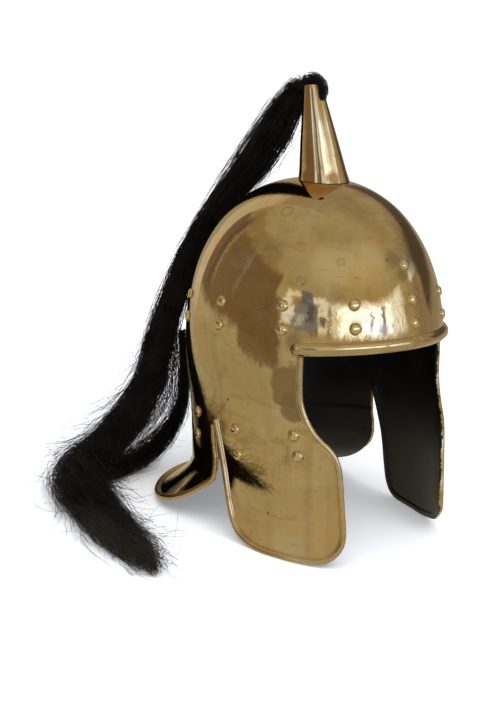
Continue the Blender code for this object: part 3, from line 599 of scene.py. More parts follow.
# a moulding swept along stations of place, outward and inward directions
def sweepMesh(name, stations, section, tapers=None, painted=None):
    verts, faces = [], []
    count = len(section)
    for index, (spot, outward, inward, width, proud) in enumerate(stations):
        taper = tapers[index] if tapers else 1.0
        for across, up in section:
            reach = (0.5 + (across - 0.5) * taper) * width
            verts.append(spot + inward * reach + outward * (up * proud * taper))
    for row in range(len(stations) - 1):
        for index in range(count):
            after = (index + 1) % count
            low, high = row * count, (row + 1) * count
            faces.append((low + index, high + index, high + after, low + after))
    faces.append(tuple(range(count)))
    faces.append(tuple(reversed(range(len(verts) - count, len(verts)))))
    mesh = newMesh(name, verts, faces, 50)
    if painted:
        kinds = [int(painted(index % count, verts[face[0]])) for index, face in enumerate(faces[:-2])]
        mesh.polygons.foreach_set("material_index", kinds + [0, 0])
    return mesh


rims = {
    "width": 0.0056,
    "proud": 0.0027,
    # across from the edge inwards, and outwards, as shares of the width and the rise
    "section": (
        (0.10, -0.64), (-0.04, -0.58), (-0.10, -0.30), (-0.10, 0.10), (-0.06, 0.45), (0.04, 0.75),
        (0.18, 0.94), (0.34, 1.00), (0.50, 0.96), (0.64, 0.80), (0.73, 0.58), (0.77, 0.36),
        (0.81, 0.30), (0.86, 0.38), (0.92, 0.36), (0.98, 0.20), (1.01, -0.02), (0.60, -0.06),
        (0.20, -0.06), (0.10, -0.10),
    ),
    # raised and painted on the inner side of the cheek guards
    "inner": (
        (0.92, -0.42), (0.90, -0.60), (0.80, -0.76), (0.56, -0.86), (0.30, -0.84), (0.08, -0.70),
        (-0.06, -0.48), (-0.10, -0.22),
    ),
}


def rimStations(outline, side):
    spots = [toWorld(skin(*point)) for point in outline]
    stations = []
    for index, spot in enumerate(spots):
        before = spots[max(index - 2, 0)]
        after = spots[min(index + 2, len(spots) - 1)]
        run = (after - before).normalized()
        facing = Vector((0.0, 0.0, 0.0))
        for place, normal, face, distance in outsideTree.find_nearest_range(spot, rims["width"] * 0.6):
            facing += normal
        inward = facing.cross(run).normalized() * side
        foot = outsideTree.find_nearest(spot + inward * rims["width"])[0]
        chord = foot - spot
        chord = (chord - run * chord.dot(run)).normalized()
        outward = (run.cross(chord) * side).normalized()
        stations.append([spot, outward, chord, rims["width"], rims["proud"]])
    # even out the directions from station to station
    for turn in range(3):
        evened = []
        for index, station in enumerate(stations):
            pair = stations[max(index - 1, 0)], stations[min(index + 1, len(stations) - 1)]
            outward = (station[1] * 2 + pair[0][1] + pair[1][1]).normalized()
            inward = (station[2] * 2 + pair[0][2] + pair[1][2]).normalized()
            evened.append([station[0], outward, inward, station[3], station[4]])
        stations = evened
    return stations


cheekSection = rims["inner"] + rims["section"][3:-1] + ((0.10, -0.30),)
# the section's points at the edge of the paint, each painted where the lap is past this
paintFrom = {6: -0.25, 7: 0.0, 8: 0.24}


def underPaint(index, spot):
    # the paint laps unevenly over the edge
    lap = noise.noise(spot * 120.0) * 0.5 + noise.noise(spot * 400.0) * 0.3
    return index < 6 or index in paintFrom and lap > paintFrom[index]


for side, name in ((1, "left"), (-1, "right")):
    run = [(angle * side, level) for angle, level in roundOff(cheekEdge(side > 0), 0.0016)
           if level < browLevel(angle) - browLine["height"] / 2 - 0.0006]
    mesh = sweepMesh(name, rimStations(run, side)[::side], cheekSection, None, underPaint)
    addPiece(f"{name}CheekRim", mesh, (edgeBrass, blackPaint), (f"{name}_cheek_rim",), True)
neckRun = list(roundOff(neckSide(), 0.0020))
lowLevel = -neck["start"] - neck["span"]
degrees = 98.95
while degrees < 180.0:
    spot = skin(math.radians(degrees), lowLevel)
    if (spot - skin(*neckRun[-1])).length > 0.0019:
        neckRun.append((math.radians(degrees), lowLevel))
    degrees += 0.05
neckStations = rimStations(neckRun, 1)
flip = stand @ Matrix.Scale(-1.0, 4, (1.0, 0.0, 0.0)) @ stand.inverted()
turned = flip.to_3x3()
otherSide = [[flip @ spot, turned @ outward, turned @ inward, width, proud]
             for spot, outward, inward, width, proud in reversed(neckStations)]
addPiece("neckRim", sweepMesh("neckRim", neckStations + otherSide, rims["section"]), (edgeBrass,),
         ("neck_guard_rim",), True)
print("rims made")

# the half-round moulding over the brow
brow = {
    "endTurn": 58.8,
    "section": (
        (0.02, 0.03), (0.00, 0.12), (0.02, 0.24), (0.06, 0.30), (0.09, 0.42), (0.15, 0.66),
        (0.24, 0.85), (0.36, 0.97), (0.50, 1.00), (0.64, 0.97), (0.76, 0.86), (0.85, 0.68),
        (0.91, 0.45), (0.94, 0.30), (0.98, 0.24), (1.00, 0.12), (0.98, 0.03), (0.50, 0.0),
    ),
}


def browMesh():
    stations, tapers = [], []
    count = 150
    for index in range(count + 1):
        angle = math.radians(brow["endTurn"] * (2 * index / count - 1))
        level = browLevel(angle)
        middle = skin(angle, level)
        outward = skinNormal(angle, level)
        up = (skin(angle, level + 0.0005) - skin(angle, level - 0.0005)).normalized()
        spot = middle - up * browLine["height"] / 2 + outward * 0.0001
        stations.append([spot, outward, up, browLine["height"], browLine["proud"]])
        toEnd = min(index, count - index) / 4.0
        tapers.append(0.35 + 0.65 * math.sqrt(max(0.0, 1 - (1 - min(toEnd, 1.0)) ** 2)))
    return sweepMesh("brow", stations, brow["section"], tapers)


addPiece("browMoulding", browMesh(), (rimBrass,), ("brow_bead",))

# domed rivets, each in a dull ring
rivet = {
    "radius": 0.0044,
    "height": 0.0027,
    "step": 31.5,
    "upper": 0.0473,
    "lower": 0.0275,
    "slope": 0.035,
    "sides": 28,
    # twice the skin's mean radius, for the ring's lie on it
    "round": 0.22,
    # shares of the radius and the height, from the darker ring to the top
    "profile": (
        (1.24, 0.02), (1.18, 0.09), (1.04, 0.10), (1.00, 0.20), (1.00, 0.34), (0.95, 0.52),
        (0.84, 0.72), (0.66, 0.88), (0.44, 0.97), (0.20, 1.01),
    ),
}
rivetBrass = newFinish("rivet brass", Metallic=1.0)
rivetCloud = rivetBrass.noise(300.0, 3.0)
rivetTone = rivetBrass.blend(rivetCloud.ramp(0.40, 0.75) * 0.6, (0.80, 0.60, 0.30), (0.55, 0.38, 0.17))
rivetBrass.feed("Base Color", rivetTone)
rivetBrass.feed("Roughness", 0.06 + rivetCloud * 0.10)
rivetBrass.bump(rivetCloud * 0.00005)
# a darker, duller ring round each rivet's foot
footRing = newFinish("rivet grime", Metallic=0.65)
footRingCloud = footRing.noise(420.0, 3.0)
footRingTone = footRing.blend(footRingCloud.ramp(0.35, 0.65), (0.20, 0.135, 0.060), (0.48, 0.34, 0.15))
footRing.feed("Base Color", footRingTone)
footRing.feed("Roughness", 0.28 + footRingCloud * 0.3)


def rivetPiece(name, node, angle, level):
    spot = skin(angle, level)
    normal = skinNormal(angle, level)
    side = Vector((0.0, 0.0, 1.0)).cross(normal).normalized()
    up = normal.cross(side)
    sides = rivet["sides"]
    verts, faces, kinds = [], [], []
    wobble = random.uniform(0, 10)
    for row, (share, rise) in enumerate(rivet["profile"]):
        for index in range(sides):
            turn = math.tau * index / sides
            far = rivet["radius"] * share
            if row < 2:
                far *= 1.0 + 0.03 * math.sin(turn * 3 + wobble) + 0.02 * math.sin(turn * 5 + wobble * 2)
            low = spot + side * far * math.cos(turn) + up * far * math.sin(turn)
            drop = (low - spot).length ** 2 / rivet["round"]
            verts.append(low + normal * (rise * rivet["height"] - drop * (1.0 if row < 3 else 0.3)))
    rows = len(rivet["profile"])
    for row in range(rows - 1):
        faces += ringFaces(row * sides, (row + 1) * sides, sides)
        kinds += [int(row < 2)] * sides
    faces += fanFaces((rows - 1) * sides, sides, len(verts))
    verts.append(spot + normal * rivet["height"] * 1.02)
    faces += [(second, first, tip) for first, second, tip in fanFaces(0, sides, len(verts))]
    verts.append(spot - normal * 0.0003)
    mesh = newMesh(name, verts, faces, 65)
    mesh.polygons.foreach_set("material_index", kinds + [0] * sides + [1] * sides)
    return addPiece(name, mesh, (rivetBrass, footRing), (node,))


def buildRivets():
    back = (4 * rivet["step"] + 180.0) / 2
    turns = [-back] + [rivet["step"] * step for step in range(-4, 5)] + [back]
    for number, turn in enumerate(turns, 1):
        angle = math.radians(turn)
        slope = rivet["slope"] * skull["halfDepth"] * math.cos(angle)
        for row in ("upper", "lower"):
            rivetPiece(f"{row}Rivet{number:02d}", f"band_rivet_{row}_{number:02d}", angle,
                       rivet[row] + slope)
    rivetPiece("browRivet", "brow_rivet", 0.0, 0.0800)
    onCheek = ((57.5, 0.351), (55.7, 0.455), (86.5, 0.362), (85.2, 0.489))
    onNeck = ((116.0, 0.334), (117.3, 0.455))
    for side, name in ((-1, "right"), (1, "left")):
        for guard, spots in (("cheek", onCheek), ("neck", onNeck)):
            for number, (turn, drop) in enumerate(spots, 1):
                rivetPiece(f"{name}{guard.capitalize()}Rivet{number}", f"{name}_{guard}_rivet_{number}",
                           side * math.radians(turn), -drop * skull["cheekDrop"])


buildRivets()
print("rivets made")

# the hollow cone that holds the plume
cone = {
    "height": 0.0815,
    "foot": 0.0215,
    "mouth": 0.0077,
    "sheet": 0.0012,
    "leanBack": math.radians(3.9),
    "leanSide": math.radians(-5.9),
    "forward": 0.0100,
}
coneLean = Vector((math.tan(cone["leanSide"]), math.tan(cone["leanBack"]), 1.0)).normalized()


def domeLevel(across, back):
    ring = min(math.hypot(across / skull["halfWidth"], back / skull["halfDepth"]), 1.0)
    return skull["rise"] * (1.0 - ring ** skull["fullness"]) ** (1.0 / skull["fullness"])


coneFoot = Vector((0.0, -cone["forward"], domeLevel(0.0, cone["forward"])))
coneMouth = coneFoot + coneLean * cone["height"]


def onDome(start, end):
    low, high = 0.0, 1.0
    for turn in range(40):
        middle = (low + high) / 2
        spot = start.lerp(end, middle)
        if spot.z - domeLevel(spot.x, spot.y) > 0.0003:
            low = middle
        else:
            high = middle
    return start.lerp(end, low)


def coneMesh():
    side = Vector((0.0, 1.0, 0.0)).cross(coneLean).normalized()
    back = coneLean.cross(side)
    sides, rows = 72, 26
    rings = [[] for row in range(rows + 4)]
    for index in range(sides):
        turn = math.tau * index / sides
        ray = side * math.cos(turn) + back * math.sin(turn)
        widen = (cone["foot"] - cone["mouth"]) / cone["height"]
        for inside in (0, 1):
            wall = cone["sheet"] * inside
            top = coneMouth + ray * (cone["mouth"] - wall)
            bottom = coneFoot - coneLean * 0.02 + ray * (cone["foot"] - wall + widen * 0.02)
            foot = onDome(top, bottom)
            if inside:
                rings[rows + 2].append(top - coneLean * 0.0002)
                rings[rows + 3].append(foot)
                continue
            for row in range(rows + 1):
                share = row / rows
                spot = foot.lerp(top, share)
                swell = 0.00035 * math.sin(math.pi * share) + 0.0005 * (1 - ease(share * 9))
                beat = noise.noise(Vector((math.cos(turn) * 2, math.sin(turn) * 2, share * 4))) * 0.00012
                rings[row].append(spot + ray * (swell + beat))
            rings[rows + 1].append(top - ray * 0.0004 + coneLean * 0.0003)
    faces = []
    for row in range(len(rings)):
        faces += ringFaces(row * sides, (row + 1) % len(rings) * sides, sides)
    return newMesh("cone", [spot for ring in rings for spot in ring], faces, 40)


coneBrass = brassFinish("cone brass", 0.8)
addPiece("plumeCone", coneMesh(), (coneBrass,), ("plume_socket",))
print("cone made")

# horsehair: a root in the cone, the long hank and a loose lock inside its fold
plume = {
    "radius": 0.0180,
    "strands": 660,
    "frayed": 1300,
    "loose": 380,
    "strays": 520,
    "web": 230,
    "heartLocks": 26,
    "thick": 0.00018,
    "room": 0.015,
    "tipFrom": 0.050,
    # shares of the half width, the half depth and the height of the cone's mouth, then the size
    "run": (
        (-0.082, 0.242, 0.985, 0.30), (-0.074, 0.252, 1.006, 0.38), (-0.062, 0.330, 1.001, 0.53),
        (-0.078, 0.405, 0.974, 0.68), (-0.083, 0.482, 0.930, 0.83), (-0.102, 0.574, 0.871, 0.95),
        (-0.123, 0.698, 0.803, 0.92), (-0.137, 0.851, 0.737, 0.83), (-0.138, 1.000, 0.671, 0.76),
        (-0.169, 1.118, 0.602, 0.74), (-0.243, 1.179, 0.534, 0.72), (-0.350, 1.176, 0.466, 0.71),
        (-0.495, 1.126, 0.399, 0.72), (-0.629, 1.069, 0.334, 0.74), (-0.716, 1.026, 0.268, 0.74),
        (-0.795, 1.047, 0.206, 0.76), (-0.879, 1.100, 0.155, 0.82), (-0.977, 1.163, 0.098, 0.92),
        (-1.142, 1.183, 0.060, 1.03), (-1.342, 1.129, 0.042, 1.15), (-1.480, 0.984, 0.038, 1.22),
        (-1.586, 0.783, 0.037, 1.24), (-1.666, 0.575, 0.036, 1.16), (-1.792, 0.286, 0.034, 1.02),
        (-1.868, 0.015, 0.030, 0.88), (-1.900, -0.222, 0.024, 0.69), (-1.975, -0.440, 0.018, 0.41),
    ),
    "looseRun": (
        (-0.357, 1.069, 0.359, 0.18), (-0.354, 1.031, 0.306, 0.23), (-0.316, 1.035, 0.246, 0.26),
        (-0.291, 1.049, 0.184, 0.31), (-0.275, 1.105, 0.128, 0.37), (-0.320, 1.158, 0.083, 0.45),
        (-0.431, 1.207, 0.044, 0.53), (-0.637, 1.177, 0.028, 0.52), (-0.873, 1.119, 0.026, 0.46),
        (-1.075, 1.078, 0.024, 0.46), (-1.281, 1.044, 0.023, 0.40), (-1.475, 1.020, 0.029, 0.30),
    ),
    # the short tuft that falls over the front of the cone's mouth
    "tuft": (
        (-0.086, 0.305, 0.984, 0.34), (-0.070, 0.285, 1.004, 0.42), (-0.056, 0.228, 1.008, 0.37),
        (-0.055, 0.176, 0.998, 0.26), (-0.062, 0.146, 0.984, 0.18), (-0.074, 0.132, 0.970, 0.08),
    ),
}
mouth = toWorld(coneMouth)
shift = Vector((stand.translation.x, stand.translation.y, 0.0))


def plumePath(run):
    # centre line and size at even steps, in the world
    places = []
    for across, back, height, size in run:
        spot = Vector((across * skull["halfWidth"], back * skull["halfDepth"], height * mouth.z)) + shift
        places.append((*spot, size * plume["radius"]))
    knots = np.array(places)
    lengths = np.r_[0, np.cumsum(np.linalg.norm(np.diff(knots[:, :3], axis=0), axis=1))]
    table = [(length, *knot) for length, knot in zip(lengths, knots)]
    steps = np.linspace(0, lengths[-1], 160)
    return np.array([[along(table, step, column) for column in range(1, 5)] for step in steps])


def pathFrames(path):
    run = np.gradient(path[:, :3], axis=0)
    run /= np.linalg.norm(run, axis=1)[:, None]
    side = np.cross(run, [0.0, 0.0, 1.0])
    steep = np.linalg.norm(side, axis=1) < 0.35
    side[steep] = np.array([0.83, 0.55, 0.0])
    for index in range(1, len(side)):
        if side[index] @ side[index - 1] < 0:
            side[index] *= -1
    for turn in range(12):
        side[1:-1] = (side[:-2] + side[1:-1] * 2 + side[2:]) / 4
    side -= run * np.sum(side * run, axis=1)[:, None]
    side /= np.linalg.norm(side, axis=1)[:, None]
    return run, side, np.cross(side, run)


def strandMesh(name, lines, thick):
    # three-sided tapered hairs through rows of points
    count, steps = lines.shape[:2]
    run = np.gradient(lines, axis=1)
    run /= np.maximum(np.linalg.norm(run, axis=2), 1e-9)[..., None]
    side = np.cross(run, np.array([0.31, -0.72, 0.62]))
    side /= np.maximum(np.linalg.norm(side, axis=2), 1e-9)[..., None]
    rise = np.cross(side, run)
    taper = np.minimum(1.0, (1.0 - np.linspace(0, 1, steps)) * 6.0 + 0.35)[None, :, None]
    thick = thick[:, None, None] * taper
    corners = []
    for index in range(3):
        turn = math.tau * index / 3
        corners.append(lines + (side * math.cos(turn) + rise * math.sin(turn)) * thick)
    verts = np.stack(corners, axis=2)
    verts[..., 2] = np.maximum(verts[..., 2], 0.00015)
    verts = verts.reshape(-1, 3)
    base = (np.arange(count)[:, None] * steps + np.arange(steps - 1)[None, :]) * 3
    quads = []
    for index in range(3):
        after = (index + 1) % 3
        quads.append(np.stack([base + index, base + after, base + 3 + after, base + 3 + index], axis=-1))
    quads = np.stack(quads, axis=2).reshape(-1, 4)
    starts = np.arange(count) * steps * 3
    ends = starts + (steps - 1) * 3
    caps = np.concatenate([np.stack([starts + 2, starts + 1, starts], 1),
                           np.stack([ends, ends + 1, ends + 2], 1)])
    mesh = bpy.data.meshes.new(name)
    mesh.vertices.add(len(verts))
    mesh.vertices.foreach_set("co", verts.ravel())
    mesh.loops.add(len(quads) * 4 + len(caps) * 3)
    mesh.loops.foreach_set("vertex_index", np.concatenate([quads.ravel(), caps.ravel()]))
    mesh.polygons.add(len(quads) + len(caps))
    first = np.concatenate([np.arange(len(quads)) * 4, len(quads) * 4 + np.arange(len(caps)) * 3])
    mesh.polygons.foreach_set("loop_start", first)
    mesh.polygons.foreach_set("use_smooth", np.ones(len(first), bool))
    mesh.update(calc_edges=True)
    mesh.validate()
    return mesh


hairFinish = newFinish("horsehair", **{"Metallic": 0.0, "Specular IOR Level": 0.17})
hairCloud = hairFinish.noise(60.0, 3.0)
hairTone = hairFinish.blend(hairCloud.ramp(0.35, 0.75),
                            (0.0055, 0.0038, 0.0042), (0.015, 0.0100, 0.0105))
hairFinish.feed("Base Color", hairTone)
hairFinish.feed("Roughness", 0.34 + hairCloud * 0.25)
generator = np.random.default_rng(5)


def reader(at, total):
    # reads a table of so many rows at shares of its length
    spot = np.clip(at, 0, 1) * (total - 1)
    low = np.clip(spot.astype(int), 0, total - 2)
    part = (spot - low)[..., None]

    def read(values):
        values = values if values.ndim == 2 else values[:, None]
        return values[low] * (1 - part) + values[low + 1] * part

    return read


def wander(count, steps, held):
    # small irregular waves, finer than the locks; held draws the far end back to its line
    walk = np.cumsum(generator.normal(0, 1, (count, steps, 3)), axis=1)
    grow = np.linspace(0, 1, steps)[None, :, None]
    return walk - (walk[:, :1] + (walk[:, -1:] - walk[:, :1]) * grow * held)


def hairLines(path, count, steps, spread, clumps, loose, early=0.12, frizz=0.0):
    # strands that run in locks along a path; frizz sends the outer ones waving
    run, side, rise = pathFrames(path)
    lockTurn = generator.uniform(0, math.tau, clumps)
    lockFar = np.sqrt(generator.uniform(0, 1, clumps)) * 0.80
    lockTwist = generator.normal(0.0, 1.3, clumps)
    lock = generator.integers(0, clumps, count)
    own = generator.normal(0, 1, (count, 2)) * (0.12 + 0.16 * loose * generator.random((count, 1)))
    first = generator.random((count, 1)) ** 3 * 0.5 * min(frizz, 1.0)
    last = 1.0 - generator.random((count, 1)) ** 1.4 * early
    at = first + np.linspace(0, 1, steps)[None, :] * (last - first)
    read = reader(at, len(path))
    centre, size = read(path[:, :3]), read(path[:, 3])
    sideways, upward = read(side), read(rise)
    turn = lockTurn[lock][:, None] + lockTwist[lock][:, None] * at
    turn = turn + np.sin(at * 9 + lock[:, None]) * 0.25
    far = lockFar[lock][:, None] * (0.92 + 0.12 * np.sin(at * 13 + lock[:, None] * 1.7))

    def wave(low, high, much):
        pace = generator.uniform(low, high, (count, 1))
        return np.sin(at * pace + generator.uniform(0, 6, (count, 1))) * much

    fan = 1.0 + 0.5 * loose * at ** 2
    wild = frizz * generator.random((count, 1)) ** 2 * (0.4 + 0.6 * np.clip(at * 2.5, 0, 1))
    across = np.cos(turn) * far + own[:, :1] * fan + wave(5, 16, 0.05 * loose)
    across = across + wave(14, 60, 1.0) * wild * 0.30
    up = np.sin(turn) * far + own[:, 1:] * fan + wave(5, 16, 0.03 * loose)
    up = up + wave(14, 60, 1.0) * wild * 0.22
    away = 1.0 + wild * 0.75
    out = sideways * (across * away)[..., None] + upward * (up * away)[..., None]
    return centre + out * size * spread


def fuzzLines(path, count, steps, start, length, reach):
    # short frizzy hairs that leave the hank's outside along its run
    run, side, rise = pathFrames(path)
    first = start[0] + generator.random((count, 1)) * (start[1] - start[0])
    span = generator.uniform(length[0], length[1], (count, 1))
    grow = np.linspace(0, 1, steps)[None, :]
    ends = 1.0 - generator.random((count, 1)) ** 1.5 * 0.09
    at = first + grow * np.maximum(np.minimum(span, ends - first), 0.012)
    read = reader(at, len(path))
    centre, size = read(path[:, :3]), read(path[:, 3])
    turn = generator.uniform(0, math.tau, (count, 1)) + generator.normal(0, 0.5, (count, 1)) * grow
    out = generator.random((count, 1)) ** 1.8 * (reach[1] - reach[0]) + reach[0]
    size = size[..., 0]
    far = size * generator.uniform(0.66, 0.98, (count, 1))
    far = far + out * grow ** 1.4 * np.clip(size / 0.012, 0.4, 1.3)
    across, up = np.cos(turn) * far, np.sin(turn) * far
    lines = centre + read(side) * across[..., None] + read(rise) * up[..., None]
    walk = wander(count, steps, 0.75)
    return lines + walk * generator.uniform(0.00025, 0.00085, (count, 1, 1))


def strayLines(path, count, steps, start, reach):
    # single hairs that leave the hank sideways and curl
    run, side, rise = pathFrames(path)
    total = len(path) - 1
    at = start[0] + generator.random(count) * (start[1] - start[0])
    row = (at * total).astype(int)
    turn = generator.uniform(0, math.tau, count)
    out = side[row] * np.cos(turn)[:, None] + rise[row] * np.sin(turn)[:, None]
    lines = np.zeros((count, steps, 3))
    lines[:, 0] = path[row, :3] + out * path[row, 3:] * 0.75
    heading = run[row] * 0.9 + out * generator.uniform(0.15, 1.0, (count, 1))
    bend = generator.normal(0, 1, (count, 3)) * 0.09
    step = generator.uniform(reach[0], reach[1], count)[:, None] / steps
    for index in range(1, steps):
        heading = heading + bend + generator.normal(0, 0.11, (count, 3)) - np.array([0, 0, 0.03])
        heading /= np.linalg.norm(heading, axis=1)[:, None]
        lines[:, index] = lines[:, index - 1] + heading * step
        lines[:, index, 2] = np.maximum(lines[:, index, 2], 0.0008)
    return lines


def webLines(count, steps):
    # thin hairs that hang between the hank and the loose lock
    grow = np.linspace(0.0, 1.0, steps)
    loose = reader(grow * 0.85, len(loosePath))(loosePath[:, :3])
    upper, lower = [np.argmin(np.abs(mainPath[:120, 2] - level)) for level in (loose[0, 2], 0.035)]
    spots = upper + grow * (lower - upper)
    main = reader(spots / (len(mainPath) - 1), len(mainPath))(mainPath[:, :3])
    share = (0.12 + 0.85 * generator.random((count, 1, 1)) ** 1.3) * np.ones((1, steps, 1))
    share = share + 0.10 * np.sin(grow[None, :, None] * 7.0 + generator.uniform(0, 6, (count, 1, 1)))
    lines = main[None] * (1.0 - share) + loose[None] * share
    walk = wander(count, steps, 0.6)
    drift = generator.normal(0, 0.0022, (count, 1, 3))
    return lines + drift + walk * generator.uniform(0.0002, 0.0006, (count, 1, 1))


mainPath = plumePath(plume["run"])
loosePath = plumePath(plume["looseRun"])
tuftPath = plumePath(plume["tuft"])


def settle(lines):
    # nothing goes into the floor, or far from the hank
    lines[..., 2] = np.maximum(lines[..., 2], 0.0006 + generator.random(lines.shape[0])[:, None] * 0.004)
    for axis in (0, 1):
        for edge, way in ((solidBox[0][axis], -1.0), (solidBox[1][axis], 1.0)):
            over = np.maximum((lines[..., axis] - edge) * way, 0.0)
            lines[..., axis] -= way * (over - plume["room"] * (1.0 - np.exp(-over / plume["room"])))
    return lines


def keepPart(mesh, tip, tipTop):
    # only the faces on the floor end of the hank, or only the others
    work = bmesh.new()
    work.from_mesh(mesh)
    dropped = []
    for face in work.faces:
        spot = face.verts[0].co
        if (spot.y < plume["tipFrom"] and spot.z < tipTop) != tip:
            dropped.append(face)
    bmesh.ops.delete(work, geom=dropped, context="FACES")
    work.to_mesh(mesh)
    work.free()
    return mesh


def addLocks(name, mesh, nodes=(), tipTop=0.022):
    # the low side of the floor end is a piece of its own, which the brass does not mirror
    tip = keepPart(mesh.copy(), True, tipTop)
    addPiece(name, keepPart(mesh, False, tipTop), (hairFinish,), nodes, True)
    if len(tip.polygons):
        addPiece(name + "Tip", tip, (hairFinish,), nodes, True).visible_glossy = False


def addHair(name, lines, thick):
    sizes = thick * generator.uniform(0.7, 1.35, len(lines))
    addLocks(name, strandMesh(name, settle(lines), sizes))


def coreMesh():
    # dense heart of the hank: thick locks under the loose hairs
    locks = plume["heartLocks"]
    lines = np.concatenate([hairLines(mainPath, locks, 90, 0.52, locks, 0.0, 0.05),
                            hairLines(loosePath, 2, 90, 0.30, 2, 0.0, 0.05)])
    sizes = np.full(len(lines), 0.0032)
    sizes[locks:] = 0.0009
    count, steps = lines.shape[:2]
    verts, faces = [], []
    sides = 8
    for index in range(count):
        path = mainPath if index < locks else loosePath
        scaleAt = reader(np.linspace(0, 1, steps), len(path))(path[:, 3])[:, 0] / plume["radius"]
        run = np.gradient(lines[index], axis=0)
        run /= np.linalg.norm(run, axis=1)[:, None]
        side = np.cross(run, np.array([0.31, -0.72, 0.62]))
        side /= np.linalg.norm(side, axis=1)[:, None]
        rise = np.cross(side, run)
        base = len(verts)
        for row in range(steps):
            share = row / (steps - 1)
            thick = sizes[index] * min(1.2, scaleAt[row] * 1.15)
            thick *= 1.0 - 0.8 * ease((share - 0.80) / 0.16)
            for corner in range(sides):
                turn = math.tau * corner / sides
                out = side[row] * math.cos(turn) + rise[row] * math.sin(turn)
                spot = lines[index][row] + out * thick
                verts.append((spot[0], spot[1], max(spot[2], 0.0004)))
        for row in range(steps - 1):
            faces += ringFaces(base + row * sides, base + (row + 1) * sides, sides)
        faces.append(tuple(base + corner for corner in reversed(range(sides))))
        faces.append(tuple(base + (steps - 1) * sides + corner for corner in range(sides)))
    return newMesh("plumeHeart", verts, faces)


addLocks("plumeHeart", coreMesh(), ("horsehair_plume",), 0.06)
thin = plume["thick"]
addHair("plumeHair1", hairLines(mainPath, plume["strands"], 24, 0.82, 60, 0.5), thin)
addHair("plumeHair2", hairLines(mainPath, plume["strands"], 26, 1.0, 44, 0.9, 0.2, 0.35), thin)
frayed, loose, single = plume["frayed"], plume["loose"], plume["strays"]
addHair("plumeHair3", fuzzLines(mainPath, frayed, 22, (0.02, 0.97), (0.05, 0.15), (0.0, 0.007)), thin)
addHair("plumeHair4", fuzzLines(mainPath, frayed, 22, (0.42, 0.95), (0.05, 0.14), (0.001, 0.021)),
        thin * 0.9)
addHair("plumeLooseLock", hairLines(loosePath, loose, 24, 1.15, 30, 1.0, 0.1, 0.6), thin * 0.9)
addHair("plumeWeb", webLines(plume["web"], 26), thin * 0.85)
addHair("plumeLooseFrizz",
        fuzzLines(loosePath, loose // 2, 22, (0.0, 0.95), (0.08, 0.25), (0.0, 0.005)), thin * 0.8)
tuft = np.concatenate([hairLines(tuftPath, 190, 16, 0.9, 40, 1.0, 0.5, 0.5),
                       fuzzLines(tuftPath, 150, 16, (0.0, 0.8), (0.25, 0.7), (-0.001, 0.003))])
addHair("plumeTuft", tuft, thin)
strays = np.concatenate([strayLines(mainPath, single // 2, 22, (0.50, 0.99), (0.015, 0.075)),
                         strayLines(mainPath, single // 3, 22, (0.05, 0.60), (0.006, 0.020)),
                         strayLines(loosePath, single // 6, 22, (0.1, 0.9), (0.008, 0.035))])
addHair("plumeStrays", strays, thin * 0.66)
print("plume made")

# pale floor
floorFinish = newFinish("floor", **{
    "Base Color": (0.93, 0.93, 0.93, 1.0),
    "Roughness": 0.95,
    "Specular IOR Level": 0.0,
    "Emission Color": (0.21, 0.21, 0.215, 1.0),
    "Emission Strength": 1.0,
})
floorMesh = bpy.data.meshes.new("floor")
floorMesh.from_pydata([(-30, -30, 0), (30, -30, 0), (30, 30, 0), (-30, 30, 0)], [], [(0, 1, 2, 3)])
floor = bpy.data.objects.new("floor", floorMesh)
scene.collection.objects.link(floor)
floorMesh.materials.append(floorFinish.owner)
floor.visible_glossy = False

